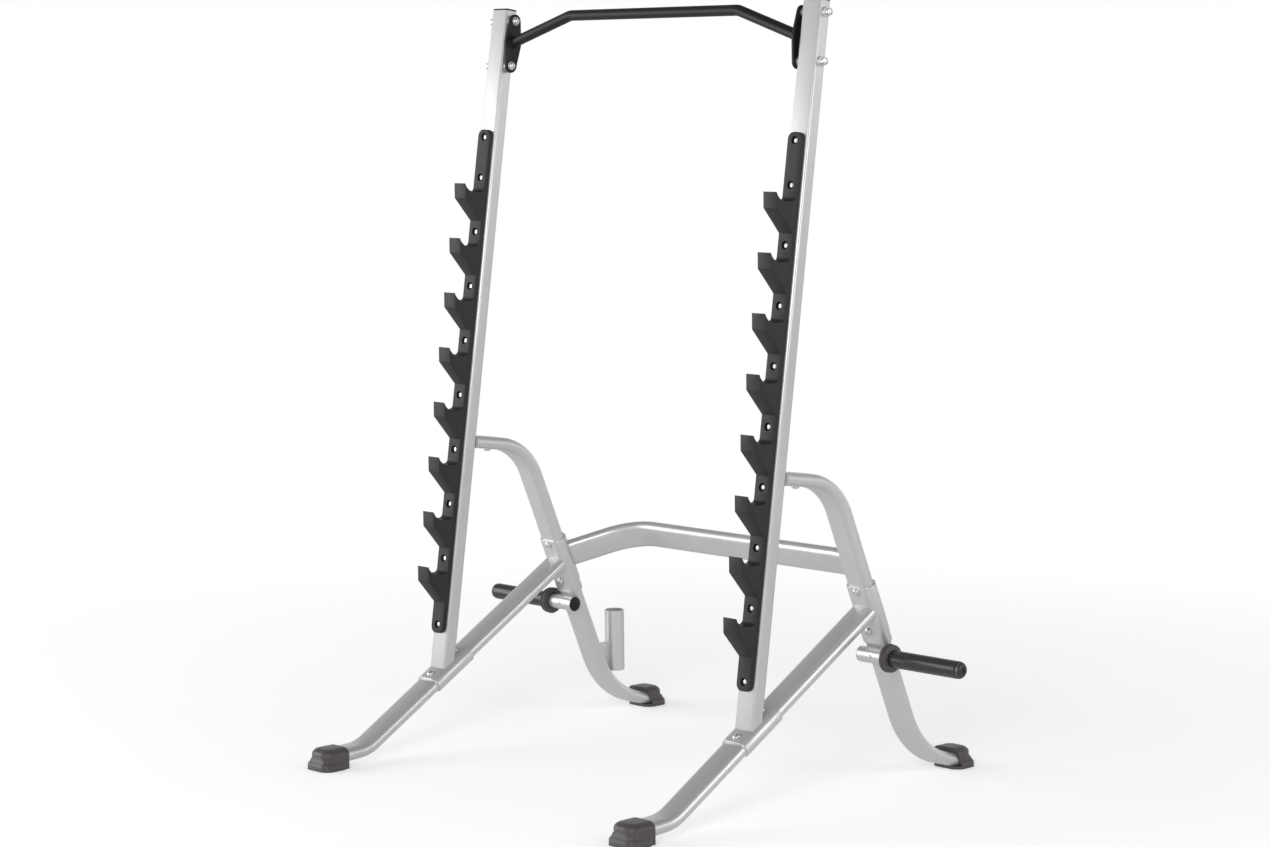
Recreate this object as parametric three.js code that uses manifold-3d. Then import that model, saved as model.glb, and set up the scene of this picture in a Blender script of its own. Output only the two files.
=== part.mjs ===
// Squat rack. Two leaning uprights stand on side frames of flat-oval tube: a low tube that climbs
// to the rear, and a rear leg that arches over from the upright. A bowed cross tube and a raised
// pull-up bar tie the sides together. Eight pairs of hooks climb the uprights, a plate
// peg stands out of each rear leg, and the left rear leg carries an upright tube for a spare bar.
// Millimetres, +Z up. The lifter stands on the -Y side and faces +Y, so +X is the lifter's right.
// The origin is on the floor, under the middle of the rack.
import * as THREE from 'three';
import { mergeVertices } from 'three/addons/utils/BufferGeometryUtils.js';
import Module from 'manifold-3d';

const wasm = await Module();
wasm.setup();

// Driving dimensions of the whole rack
const FRAME_HALF = 614;        // from the rack's middle plane to each side frame's own middle plane
const RACK_HEIGHT = 2103;
const GAP = 0.3;               // between pieces that touch
const JOIN = 1;                // how far two shapes of one piece run into each other
const FAR = 200;               // how far a shape that only cuts runs on past what it cuts

// Flat-oval tube of the side frames and of the cross tube
const OVAL = { wide: 80, thick: 36, wall: 3 };
const SLEEVE = 5;              // how far the joint sleeves stand out round the tubes
const STUB = { long: 110, wall: 3, bolt: 90 };   // on the upright, inside the rear leg's arm

// Uprights: rounded rectangular tube that leans back
const POST = { wide: 64, deep: 40, wall: 3, corner: 7 };
const LEAN = THREE.MathUtils.degToRad(8.38);
const POST_FOOT_Y = -226.3;    // where the upright's middle line would meet the floor
const POST_CAP = { thick: 4, spigot: 14 };

// Side frame in its own YZ plane: the low tube climbs to the rear, the rear leg falls to the rear
const LOW_SLOPE = 0.5938;
const LOW_HEIGHT = 326.6;      // height of the low tube's middle line at y = 0
const LEG_SLOPE = -2.4083;
const LEG_HEIGHT = 1124.9;     // height of the rear leg's middle line at y = 0
const ARM_HEIGHT = 855.3;      // height at y = 0 of the arch's arm, which is square to the upright
const FRONT_TOE = { slope: 0.0507, height: 61.8, end: -612 };
const REAR_TOE = { slope: -0.1, height: 83.7, end: 612 };
const BEND = { arch: 166, heel: 242, toe: 120 };

// Sleeves round the tubes at the side frame's two joints, and the bolts through them. Distances
// run along the tube from where the middle lines cross
const REAR_JOINT = { bolts: [-61, 61], low: -100, high: 74, plate: 73 };
const FRONT_JOINT = { bolts: [-34, 74], low: -54, high: 94 };
const PLATE = { thick: 5, wide: 56, corner: 1.5 };
const BOLT = { shank: 6, hole: 6.7, head: 11, headHigh: 8, nutHigh: 11, tail: 2 };

// Cross tube, bowed to the rear. Its own plane is tilted a little from square to the rear legs
const BOW = { depth: 174, radius: 212, straightHalf: 360, raise: 7 };
const BOW_TURN = THREE.MathUtils.degToRad(45);
const BOW_TILT = THREE.MathUtils.degToRad(3.2);

// Hook racks
const RACK = { wide: 49, thick: 14.4, top: 1758.4, bottom: 328.1, corner: 19 };
const HOOKS = 8;
const HOOK_PITCH = 154.74;     // measured straight down
const FIRST_TIP = 1608.2;       // height of the highest hook's tip
const FIRST_SCREW = 1622.5;    // height of the screw above the highest hook
const TIP_REACH = 72.8;        // from the rack's face to the hook's nose
const NOSE_HIGH = 43;
const HOOK_HIGH = 110;
const CRADLE = { deep: 26, arc: 37, fillet: 12 };
const SCREW_WELL = { radius: 11, deep: 7 };
const END_SCREWS = [1737.6, 352.1];

// Pull-up bar
const BAR = { radius: 15, wall: 2.5, high: 2077, half: 331, dropTo: 2004.4, bend: 60 };
const BAR_PLATE = { middle: 2002, bolts: 64, endRadius: 20, bulge: 30, thick: 8 };
const BOSS = { radius: 13, inner: 11, outer: 9, sides: 16 };   // round the bar plate's bolts

// Plate pegs
const PEG = { y: 284.9, z: 352.6, tube: 21.2, wall: 3, inner: -41, collarIn: 53, collarOut: 73, end: 316 };
const PEG_COLLAR = 38.5;
const PEG_SLEEVE = 23.5;
const PEG_END = { thick: 6, spigot: 14 };
const PEG_PLUG = { thick: 4, spigot: 7, play: 1.2 };
const PEG_SCREW = { x: 6, shank: 3, head: 6, headHigh: 3.5, tail: 4 };

// Tube for a spare bar, behind the left rear leg, and the plate that holds it there. The plate's
// edges are measured up from the tube's foot
const HOLDER = { y: 482.3, bottom: 124.8, top: 306.8, radius: 29, wall: 3, foot: 5, sides: 24 };
const BRACKET = { front: 330, low: 6, high: 88, thick: 12 };

// Rubber feet
const FOOT = { high: 58, half: 46, long: 140, corner: 35, dome: 14, sole: 8 };
const LIP = { half: 52, corner: 29, long: 86, high: 28, slope: 9 };
const FRONT_FOOT = { nose: -648.5, lip: -657.5, mouthTop: -571, mouthFloor: -571 };
const REAR_FOOT = { nose: 646, lip: 657.5, mouthTop: 578, mouthFloor: 595 };

const silver = { color: 0xb9bbbc, roughness: 0.38, metalness: 0.65 };
const black = { color: 0x232325, roughness: 0.5, metalness: 0.2 };
const rubber = { color: 0x1b1b1c, roughness: 0.75, metalness: 0.0 };
const steel = { color: 0xc9cacb, roughness: 0.28, metalness: 1.0 };

// Turns a closed geometry into a solid that can be joined and cut
function solid(geometry) {
  const bare = geometry.clone();
  bare.deleteAttribute('normal');
  bare.deleteAttribute('uv');
  const merged = mergeVertices(bare, 1e-4);
  return new wasm.Manifold(new wasm.Mesh({
    numProp: 3,
    vertProperties: merged.attributes.position.array,
    triVerts: merged.index.array,
  }));
}

// Turns a solid back into a geometry
function geometryOf(body) {
  const mesh = body.getMesh();
  const geometry = new THREE.BufferGeometry();
  geometry.setAttribute('position', new THREE.BufferAttribute(mesh.vertProperties, 3));
  geometry.setIndex(new THREE.BufferAttribute(mesh.triVerts, 1));
  geometry.computeVertexNormals();
  return geometry;
}

// Mirror image of a geometry in the YZ plane, with its faces still pointing out
function mirrored(geometry) {
  const copy = geometry.clone().scale(-1, 1, 1);
  const index = copy.index.array;
  for (let i = 0; i < index.length; i += 3) {
    [index[i], index[i + 1]] = [index[i + 1], index[i]];
  }
  copy.computeVertexNormals();
  return copy;
}

// A polyline with rounded corners. Each corner is [point, bend radius, steps round the bend]
class BentPath extends THREE.Curve {
  constructor(corners) {
    super();
    this.points = [];
    this.tangents = [];
    corners.forEach(([point, radius, steps], i) => {
      if (i === 0 || i === corners.length - 1) {
        const other = corners[i === 0 ? 1 : i - 1][0];
        const tangent = other.clone().sub(point).normalize();
        this.add(point, i === 0 ? tangent : tangent.negate());
        return;
      }
      const into = point.clone().sub(corners[i - 1][0]).normalize();
      const out = corners[i + 1][0].clone().sub(point).normalize();
      const turn = into.angleTo(out);
      const reach = radius * Math.tan(turn / 2);
      const start = point.clone().addScaledVector(into, -reach);
      const side = out.clone().addScaledVector(into, -out.dot(into)).normalize();
      for (let k = 0; k <= steps; k++) {
        const angle = turn * k / steps;
        const at = start.clone().addScaledVector(into, radius * Math.sin(angle));
        at.addScaledVector(side, radius * (1 - Math.cos(angle)));
        const tangent = into.clone().multiplyScalar(Math.cos(angle));
        this.add(at, tangent.addScaledVector(side, Math.sin(angle)));
      }
    });
  }

  add(point, tangent) {
    this.points.push(point.clone());
    this.tangents.push(tangent.clone());
  }

  get steps() {
    return this.points.length - 1;
  }

  getPointAt(u) {
    return this.points[Math.round(u * this.steps)].clone();
  }

  getTangentAt(u) {
    return this.tangents[Math.round(u * this.steps)].clone();
  }
}

const yz = (y, z) => new THREE.Vector3(0, y, z);
const UP = yz(1, 0);        // the axis that three.js cylinders and lathes are drawn round

// Runs a section along a path. On a path in the YZ plane the section's width lies along X
function sweep(section, path, curveSegments = 4) {
  const options = { steps: path.steps, extrudePath: path, curveSegments };
  return solid(new THREE.ExtrudeGeometry(section, options));
}

function ovalOutline(Kind, wide, thick) {
  const radius = thick / 2;
  const flat = wide / 2 - radius;
  const outline = new Kind();
  outline.absarc(flat, 0, radius, -Math.PI / 2, Math.PI / 2, false);
  outline.absarc(-flat, 0, radius, Math.PI / 2, Math.PI * 1.5, false);
  outline.closePath();
  return outline;
}

// Flat-oval section grown by an offset, hollow where a wall is given
function oval(offset = 0, wall = 0) {
  const shape = ovalOutline(THREE.Shape, OVAL.wide + 2 * offset, OVAL.thick + 2 * offset);
  if (wall > 0) {
    const inner = 2 * (offset - wall);
    shape.holes.push(ovalOutline(THREE.Path, OVAL.wide + inner, OVAL.thick + inner));
  }
  return shape;
}

function rectOutline(Kind, wide, high, corner) {
  const x = wide / 2;
  const y = high / 2;
  const outline = new Kind();
  outline.absarc(x - corner, y - corner, corner, 0, Math.PI / 2, false);
  outline.absarc(corner - x, y - corner, corner, Math.PI / 2, Math.PI, false);
  outline.absarc(corner - x, corner - y, corner, Math.PI, Math.PI * 1.5, false);
  outline.absarc(x - corner, corner - y, corner, Math.PI * 1.5, Math.PI * 2, false);
  outline.closePath();
  return outline;
}

function postSection(offset = 0, wall = 0) {
  const corner = POST.corner + offset;
  const shape = rectOutline(THREE.Shape, POST.wide + 2 * offset, POST.deep + 2 * offset, corner);
  if (wall > 0) {
    const inner = 2 * (offset - wall);
    shape.holes.push(rectOutline(THREE.Path, POST.wide + inner, POST.deep + inner, corner - wall));
  }
  return shape;
}

// A round bar between two points
function rod(from, to, radius, sides = 12) {
  const axis = to.clone().sub(from);
  const geometry = new THREE.CylinderGeometry(radius, radius, axis.length(), sides);
  const turn = new THREE.Quaternion().setFromUnitVectors(UP, axis.normalize());
  geometry.applyQuaternion(turn);
  const middle = from.clone().add(to).multiplyScalar(0.5);
  geometry.translate(middle.x, middle.y, middle.z);
  return solid(geometry);
}

// A block given by two opposite corners
function block(low, high) {
  const size = high.clone().sub(low);
  const geometry = new THREE.BoxGeometry(size.x, size.y, size.z);
  const middle = low.clone().add(high).multiplyScalar(0.5);
  geometry.translate(middle.x, middle.y, middle.z);
  return solid(geometry);
}

// A round ring or tube along X, from one x to another, round a given middle line
function tubeAlongX(fromX, toX, y, z, radius, bore, sides = 20) {
  const shape = new THREE.Shape();
  shape.absarc(0, 0, radius, 0, Math.PI * 2, false);
  if (bore > 0) {
    const hole = new THREE.Path();
    hole.absarc(0, 0, bore, 0, Math.PI * 2, false);
    shape.holes.push(hole);
  }
  const options = { depth: toX - fromX, bevelEnabled: false, curveSegments: sides / 2 };
  const geometry = new THREE.ExtrudeGeometry(shape, options);
  geometry.rotateY(Math.PI / 2);
  geometry.translate(fromX, y, z);
  return solid(geometry);
}

// A flat outline in the YZ plane, given thickness along X about a middle
function slabAlongX(shape, middleX, thick, curveSegments = 2) {
  const geometry = new THREE.ExtrudeGeometry(shape, { depth: thick, bevelEnabled: false, curveSegments });
  const basis = new THREE.Matrix4().makeBasis(
    new THREE.Vector3(0, 1, 0),
    new THREE.Vector3(0, 0, 1),
    new THREE.Vector3(1, 0, 0),
  );
  geometry.applyMatrix4(basis);
  geometry.translate(middleX - thick / 2, 0, 0);
  return solid(geometry);
}

// A bolt between the two outer faces that it clamps: hexagon head, shank and nut
function bolt(headFace, nutFace) {
  const out = headFace.clone().sub(nutFace);
  const grip = out.length();
  const { shank, head, headHigh, nutHigh, tail } = BOLT;
  const profile = [
    [0, -nutHigh - tail],
    [shank, -nutHigh - tail],
    [shank, -nutHigh],
    [head, -nutHigh],
    [head, -GAP],
    [shank, -GAP],
    [shank, grip + GAP],
    [head, grip + GAP],
    [head, grip + headHigh],
    [0, grip + headHigh],
  ].map(([x, y]) => new THREE.Vector2(x, y));
  const geometry = new THREE.LatheGeometry(profile, 6);
  geometry.applyQuaternion(new THREE.Quaternion().setFromUnitVectors(UP, out.normalize()));
  geometry.translate(nutFace.x, nutFace.y, nutFace.z);
  return solid(geometry);
}

// Clearance hole for a bolt, run well past both faces
function boltHole(headFace, nutFace, beyond = 3) {
  const out = headFace.clone().sub(nutFace).normalize();
  const from = nutFace.clone().addScaledVector(out, -beyond);
  const to = headFace.clone().addScaledVector(out, beyond);
  return rod(from, to, BOLT.hole, 8);
}

// Middle lines of the side frame
const postDir = yz(Math.sin(LEAN), Math.cos(LEAN));
const postOut = yz(-Math.cos(LEAN), Math.sin(LEAN));
const postAt = (z) => yz(POST_FOOT_Y + z * Math.tan(LEAN), z);
const postTop = RACK_HEIGHT - POST.deep / 2 * Math.sin(LEAN);   // the front edge reaches highest
const lowDir = yz(1, LOW_SLOPE).normalize();
const lowUp = yz(-LOW_SLOPE, 1).normalize();
const legDir = yz(-1, -LEG_SLOPE).normalize();
const legBack = yz(-LEG_SLOPE, 1).normalize();

// Crossing of two lines in the YZ plane, each given by its height at y = 0 and its slope
function crossing(heightA, slopeA, heightB, slopeB) {
  const y = (heightB - heightA) / (slopeA - slopeB);
  return yz(y, heightA + slopeA * y);
}

const armSlope = -Math.tan(LEAN);
const rearJoint = crossing(LOW_HEIGHT, LOW_SLOPE, LEG_HEIGHT, LEG_SLOPE);
const postFootY = (POST_FOOT_Y + LOW_HEIGHT * Math.tan(LEAN)) / (1 - LOW_SLOPE * Math.tan(LEAN));
const frontJoint = yz(postFootY, LOW_HEIGHT + LOW_SLOPE * postFootY);
const archCorner = crossing(ARM_HEIGHT, armSlope, LEG_HEIGHT, LEG_SLOPE);
const heelCorner = crossing(REAR_TOE.height, REAR_TOE.slope, LEG_HEIGHT, LEG_SLOPE);
const toeCorner = crossing(FRONT_TOE.height, FRONT_TOE.slope, LOW_HEIGHT, LOW_SLOPE);
const onLeg = (s) => rearJoint.clone().addScaledVector(legDir, s);
const onLow = (s) => frontJoint.clone().addScaledVector(lowDir, s);
const armStartY = (POST_FOOT_Y + ARM_HEIGHT * Math.tan(LEAN)) / (1 + Math.tan(LEAN) ** 2);
const armStart = postAt(ARM_HEIGHT + armSlope * armStartY);
const armDir = yz(Math.cos(LEAN), -Math.sin(LEAN));
const onArm = (distance) => armStart.clone().addScaledVector(armDir, distance);
const frontToeEnd = yz(FRONT_TOE.end, FRONT_TOE.height + FRONT_TOE.slope * FRONT_TOE.end);
const rearToeEnd = yz(REAR_TOE.end, REAR_TOE.height + REAR_TOE.slope * REAR_TOE.end);

const legPath = new BentPath([
  [onArm(POST.deep / 2 + GAP)],
  [archCorner, BEND.arch, 7],
  [heelCorner, BEND.heel, 7],
  [rearToeEnd],
]);
const lowPath = new BentPath([[rearJoint], [toeCorner, BEND.toe, 4], [frontToeEnd]]);
const straight = (from, to) => new BentPath([[from], [to]]);

// Outer faces that the bolts clamp at the side frame's two joints
const half = OVAL.thick / 2;
const lowBolts = FRONT_JOINT.bolts.map((s) => ({
  head: onLow(s).addScaledVector(lowUp, half + SLEEVE),
  nut: onLow(s).addScaledVector(lowUp, -half - SLEEVE),
}));
const legBolts = REAR_JOINT.bolts.map((s) => ({
  head: onLeg(s).addScaledVector(legBack, -half - SLEEVE),
  nut: onLeg(s).addScaledVector(legBack, half + SLEEVE + GAP + PLATE.thick),
}));
const bossFace = -POST.wide / 2 - BOSS.inner;
const plateFace = bossFace - GAP - BAR_PLATE.thick;
const barBolts = [-BAR_PLATE.bolts, BAR_PLATE.bolts].map((s) => {
  const middle = postAt(BAR_PLATE.middle).addScaledVector(postDir, s);
  return {
    head: middle.clone().setX(plateFace),
    nut: middle.clone().setX(POST.wide / 2 + BOSS.outer),
  };
});

const withHoles = (body, bolts) => bolts.reduce((rest, b) => rest.subtract(boltHole(b.head, b.nut)), body);
const biggest = (body) => body.decompose().sort((a, b) => b.volume() - a.volume())[0];

// Low tube: from the rear sleeve's front, down through the front sleeve, and level into its foot
function lowTube() {
  const sleeveRoom = sweep(oval(SLEEVE + GAP), straight(onLeg(-FAR), onLeg(FAR)));
  const tube = sweep(oval(0, OVAL.wall), lowPath).subtract(sleeveRoom);
  return withHoles(tube, lowBolts);
}

// Rear leg: out from the upright, over an arch, down through the rear sleeve and into its foot
function rearLeg() {
  const tube = sweep(oval(0, OVAL.wall), legPath).subtract(armBoltHole());
  return withHoles(tube, legBolts);
}

const sleeveSection = oval(SLEEVE, SLEEVE - GAP);
const frontSleeve = () => withHoles(
  sweep(sleeveSection, straight(onLow(FRONT_JOINT.low), onLow(FRONT_JOINT.high))),
  lowBolts,
);
const rearSleeve = () => withHoles(
  sweep(sleeveSection, straight(onLeg(REAR_JOINT.low), onLeg(REAR_JOINT.high))),
  legBolts,
);

// The rear leg slides over a stub on the upright and is held there by one bolt from below
const stubHollow = half - OVAL.wall - GAP - STUB.wall;
const belowArm = (distance) => onArm(STUB.bolt).addScaledVector(postDir, -distance);
const armBoltHole = () => rod(belowArm(stubHollow / 2), belowArm(half + BOLT.headHigh), BOLT.hole, 8);

function armBolt() {
  return rod(belowArm(stubHollow / 2), belowArm(half + BOLT.headHigh / 2), BOLT.shank, 6)
    .add(rod(belowArm(half + GAP), belowArm(half + BOLT.headHigh), BOLT.head, 6));
}

// The upright stands on the front sleeve, and carries the rear leg's stub halfway up its back. Two
// round bosses go through its top for the bar plate's bolts
function upright() {
  const top = postTop - POST_CAP.thick - GAP;
  const sleeveRoom = sweep(oval(SLEEVE + GAP), straight(onLow(-FAR), onLow(FAR)));
  const postPath = straight(postAt(frontJoint.z - OVAL.wide), postAt(top));
  const post = sweep(postSection(0, POST.wall), postPath, 2);
  const kept = biggest(post.subtract(sleeveRoom));
  const stubPath = straight(onArm(POST.deep / 2 - POST.wall / 2), onArm(STUB.long));
  const stub = sweep(oval(-GAP - OVAL.wall, STUB.wall), stubPath, 3).subtract(armBoltHole());
  const bosses = barBolts.map((b) => rod(b.head.clone().setX(bossFace), b.nut, BOSS.radius, BOSS.sides));
  const bossed = bosses.reduce((body, boss) => body.add(boss), kept);
  return withHoles(bossed, barBolts).add(stub);
}

function postCap() {
  const seat = postTop - POST_CAP.thick;
  const lid = sweep(postSection(0), straight(postAt(seat), postAt(postTop)), 2);
  const spigot = straight(postAt(seat - POST_CAP.spigot), postAt(seat + JOIN));
  return lid.add(sweep(postSection(-POST.wall - GAP), spigot, 2));
}

// One hook's outline, from its nose, round the cradle, into the rack's bar and back under
function hookOutline(tip) {
  const face = rackFaceY(tip);
  const nose = face - TIP_REACH;
  const floor = tip - CRADLE.deep;
  const wallY = rackFaceY(floor + CRADLE.fillet);
  const filletY = wallY - CRADLE.fillet;
  const shape = new THREE.Shape();
  const rise = CRADLE.arc - CRADLE.deep;
  const sweepIn = Math.acos(rise / CRADLE.arc);
  const arcY = nose + CRADLE.arc * Math.sin(sweepIn);
  shape.absarc(arcY, tip + rise, CRADLE.arc, -Math.PI / 2 - sweepIn, -Math.PI / 2, false);
  shape.absarc(filletY, floor + CRADLE.fillet, CRADLE.fillet, -Math.PI / 2, 0, false);
  shape.lineTo(wallY + RACK.thick / 2, floor + CRADLE.fillet);
  const heel = tip - HOOK_HIGH;
  shape.lineTo(rackFaceY(heel) + RACK.thick / 2, heel);
  shape.lineTo(rackFaceY(heel), heel);
  shape.lineTo(nose, tip - NOSE_HIGH);
  shape.closePath();
  return shape;
}

// Front face of the hook rack's bar at a height
function rackFaceY(z) {
  const reach = (POST.deep / 2 + GAP + RACK.thick) / Math.cos(LEAN);
  return POST_FOOT_Y + z * Math.tan(LEAN) - reach;
}

function hookRack() {
  const long = (RACK.top - RACK.bottom) / Math.cos(LEAN);
  const section = rectOutline(THREE.Shape, RACK.wide, long, RACK.corner);
  const options = { depth: RACK.thick, bevelEnabled: false, curveSegments: 3 };
  const geometry = new THREE.ExtrudeGeometry(section, options);
  const across = new THREE.Vector3(1, 0, 0);
  const basis = new THREE.Matrix4().makeBasis(across, postDir, postOut);
  const middle = (RACK.top + RACK.bottom) / 2;
  const back = yz(rackFaceY(middle), middle).addScaledVector(postOut, -RACK.thick);
  geometry.applyMatrix4(basis);
  geometry.translate(back.x, back.y, back.z);
  const screws = [...END_SCREWS];
  let strip = solid(geometry);
  for (let i = 0; i < HOOKS; i++) {
    const outline = hookOutline(FIRST_TIP - i * HOOK_PITCH);
    strip = strip.add(slabAlongX(outline, 0, RACK.wide));
    screws.push(FIRST_SCREW - i * HOOK_PITCH);
  }
  for (const height of screws) {
    const mouth = yz(rackFaceY(height), height);
    const from = mouth.clone().addScaledVector(postOut, -SCREW_WELL.deep);
    const to = mouth.clone().addScaledVector(postOut, SCREW_WELL.deep);
    strip = strip.subtract(rod(from, to, SCREW_WELL.radius, 10));
  }
  return strip;
}

// End plate of the pull-up bar: a long oval that bulges at its middle
function barPlateShape() {
  const shape = new THREE.Shape();
  const { bolts, endRadius, bulge } = BAR_PLATE;
  const tilt = Math.asin((bulge - endRadius) / bolts);
  shape.absarc(0, bolts, endRadius, tilt, Math.PI - tilt, false);
  shape.absarc(0, 0, bulge, Math.PI - tilt, Math.PI + tilt, false);
  shape.absarc(0, -bolts, endRadius, Math.PI + tilt, Math.PI * 2 - tilt, false);
  shape.absarc(0, 0, bulge, -tilt, tilt, false);
  shape.closePath();
  return shape;
}

function barPlate() {
  const options = { depth: BAR_PLATE.thick, bevelEnabled: false, curveSegments: 5 };
  const geometry = new THREE.ExtrudeGeometry(barPlateShape(), options);
  const basis = new THREE.Matrix4().makeBasis(armDir, postDir, new THREE.Vector3(1, 0, 0));
  const middle = postAt(BAR_PLATE.middle);
  geometry.applyMatrix4(basis);
  geometry.translate(plateFace, middle.y, middle.z);
  return withHoles(solid(geometry), barBolts);
}

// The pull-up bar rises from each end plate to a level middle stretch
function pullUpBar() {
  const at = (x, z) => postAt(z).setX(x);
  const plateX = FRAME_HALF + plateFace;
  const fall = (BAR.high - BAR.dropTo) / (plateX - BAR.half);
  const endX = plateX + BAR.radius;
  const endZ = BAR.high - fall * (endX - BAR.half);
  const path = new BentPath([
    [at(-endX, endZ)],
    [at(-BAR.half, BAR.high), BAR.bend, 4],
    [at(BAR.half, BAR.high), BAR.bend, 4],
    [at(endX, endZ)],
  ]);
  const section = new THREE.Shape();
  section.absarc(0, 0, BAR.radius, 0, Math.PI * 2, false);
  const bore = new THREE.Path();
  bore.absarc(0, 0, BAR.radius - BAR.wall, 0, Math.PI * 2, false);
  section.holes.push(bore);
  const limit = plateX - GAP;
  const low = new THREE.Vector3(-limit, -FAR, BAR.dropTo - FAR);
  return sweep(section, path, 6).intersect(block(low, new THREE.Vector3(limit, FAR, RACK_HEIGHT)));
}

// Cross tube, drawn in its own plane: its width along the rear legs, its length across the rack
function crossTube() {
  const turn = BOW.radius * Math.tan(BOW_TURN / 2);
  const corner = BOW.straightHalf + turn;
  const plate = half + SLEEVE + GAP + PLATE.thick + GAP;
  const reach = (BOW.depth - plate) / Math.sin(BOW_TURN) + OVAL.thick;
  const endX = corner + reach * Math.cos(BOW_TURN);
  const endDepth = BOW.depth - reach * Math.sin(BOW_TURN);
  const path = new BentPath([
    [yz(-endX, endDepth)],
    [yz(-corner, BOW.depth), BOW.radius, 5],
    [yz(corner, BOW.depth), BOW.radius, 5],
    [yz(endX, endDepth)],
  ]);
  const across = new THREE.Vector3(1, 0, 0);
  const away = legBack.clone().applyAxisAngle(across, BOW_TILT);
  const along = legDir.clone().applyAxisAngle(across, BOW_TILT);
  const plane = new THREE.Matrix4().makeBasis(along, across, away).setPosition(onLeg(BOW.raise));
  const tube = geometryOf(sweep(oval(0, OVAL.wall), path)).applyMatrix4(plane);
  const room = new THREE.BoxGeometry(2 * FAR, 4 * FRAME_HALF, 2 * plate);
  room.applyMatrix4(new THREE.Matrix4().makeBasis(legDir, across, legBack).setPosition(rearJoint));
  return solid(tube).subtract(solid(room));
}

function crossPlate() {
  const onPlate = (s) => onLeg(s).addScaledVector(legBack, half + SLEEVE + GAP + PLATE.thick / 2);
  const section = rectOutline(THREE.Shape, PLATE.wide, PLATE.thick, PLATE.corner);
  const path = straight(onPlate(-REAR_JOINT.plate), onPlate(REAR_JOINT.plate));
  return withHoles(sweep(section, path, 1), legBolts);
}

// Plate peg: a steel tube across the rear leg's front, coped to sit on it
const pegShoulder = PEG.end - PEG_END.thick;
function pegTube() {
  const { y, z, tube, wall, inner } = PEG;
  const legRoom = sweep(oval(GAP), straight(onLeg(-2 * FAR), onLeg(0)));
  const body = tubeAlongX(inner, pegShoulder, y, z, tube, tube - wall);
  return biggest(body.subtract(legRoom)).subtract(pegScrewHole());
}

// The screw in the peg tube's front, and its hole. Both start inside the tube
const inFrontOfPeg = (distance) => new THREE.Vector3(PEG_SCREW.x, PEG.y - distance, PEG.z);
const pegScrewTail = PEG.tube - PEG.wall - PEG_SCREW.tail;
const pegScrewTop = PEG.tube + PEG_SCREW.headHigh;
const pegScrewHole = () => rod(
  inFrontOfPeg(pegScrewTail),
  inFrontOfPeg(pegScrewTop),
  PEG_SCREW.shank + GAP,
  8,
);

function pegScrew() {
  const neck = PEG.tube + PEG_SCREW.headHigh / 2;
  return rod(inFrontOfPeg(pegScrewTail), inFrontOfPeg(neck), PEG_SCREW.shank, 8)
    .add(rod(inFrontOfPeg(PEG.tube + GAP), inFrontOfPeg(pegScrewTop), PEG_SCREW.head, 12));
}

function pegPlug() {
  const { y, z, tube, wall, inner } = PEG;
  const seat = inner - GAP;
  const lid = tubeAlongX(seat - PEG_PLUG.thick, seat, y, z, tube, 0);
  const spigot = tubeAlongX(seat - JOIN, inner + PEG_PLUG.spigot, y, z, tube - wall - PEG_PLUG.play, 0);
  return lid.add(spigot);
}

// The collar sits round the sleeve, so that a weight plate lies flat on its outer face
function pegCollar() {
  return tubeAlongX(PEG.collarIn, PEG.collarOut, PEG.y, PEG.z, PEG_COLLAR, PEG_SLEEVE + GAP);
}

function pegSleeve() {
  return tubeAlongX(PEG.collarIn, pegShoulder, PEG.y, PEG.z, PEG_SLEEVE, PEG.tube + GAP);
}

function pegEnd() {
  const { y, z, tube, wall, end } = PEG;
  const lid = tubeAlongX(pegShoulder + GAP, end, y, z, PEG_SLEEVE, 0);
  const spigotFrom = pegShoulder - PEG_END.spigot;
  return lid.add(tubeAlongX(spigotFrom, pegShoulder + JOIN, y, z, tube - wall - GAP, 0));
}

// Upright tube for a spare bar, closed at its foot
function holderTube() {
  const { bottom, top, radius, wall, foot: floor, sides } = HOLDER;
  const at = (z) => yz(HOLDER.y, z);
  const bore = rod(at(bottom + floor), at(top + FAR), radius - wall, sides);
  return rod(at(bottom), at(top), radius, sides).subtract(bore);
}

function holderBracket() {
  const shape = new THREE.Shape();
  const low = HOLDER.bottom + BRACKET.low;
  const high = HOLDER.bottom + BRACKET.high;
  shape.moveTo(BRACKET.front, high);
  shape.lineTo(BRACKET.front, low);
  shape.lineTo(HOLDER.y, low);
  shape.lineTo(HOLDER.y, high);
  shape.closePath();
  const legRoom = sweep(oval(GAP), legPath);
  const tubeRoom = rod(yz(HOLDER.y, 0), yz(HOLDER.y, HOLDER.top), HOLDER.radius + GAP, HOLDER.sides);
  const rest = slabAlongX(shape, 0, BRACKET.thick).subtract(legRoom).subtract(tubeRoom).decompose();
  return rest.sort((a, b) => b.boundingBox().max[1] - a.boundingBox().max[1])[0];
}

// A rubber foot: a domed shoe on a wider sloping lip, with a socket for the tube. The sole runs on
// a little under the tube, past the mouth
function foot(size, socketPath) {
  const face = Math.sign(size.nose);
  const body = roundedPad(FOOT.half, FOOT.long, FOOT.corner, FOOT.high, FOOT.dome, FOOT.dome);
  body.translate(0, size.nose - face * FOOT.long / 2, 0);
  const lip = roundedPad(LIP.half, LIP.long, LIP.corner, LIP.high, LIP.high / 2, LIP.slope);
  lip.translate(0, size.lip - face * LIP.long / 2, 0);
  const low = new THREE.Vector3(-FAR, size.lip - FAR, -FAR);
  const floor = block(low, new THREE.Vector3(FAR, size.lip + FAR, 0));
  const socket = sweep(oval(GAP), socketPath);
  const hood = solid(body).subtract(mouthCut(size, face, -JOIN));
  const rim = solid(lip).subtract(mouthCut(size, face, FOOT.sole));
  return hood.add(rim).subtract(floor).subtract(socket);
}

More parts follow.
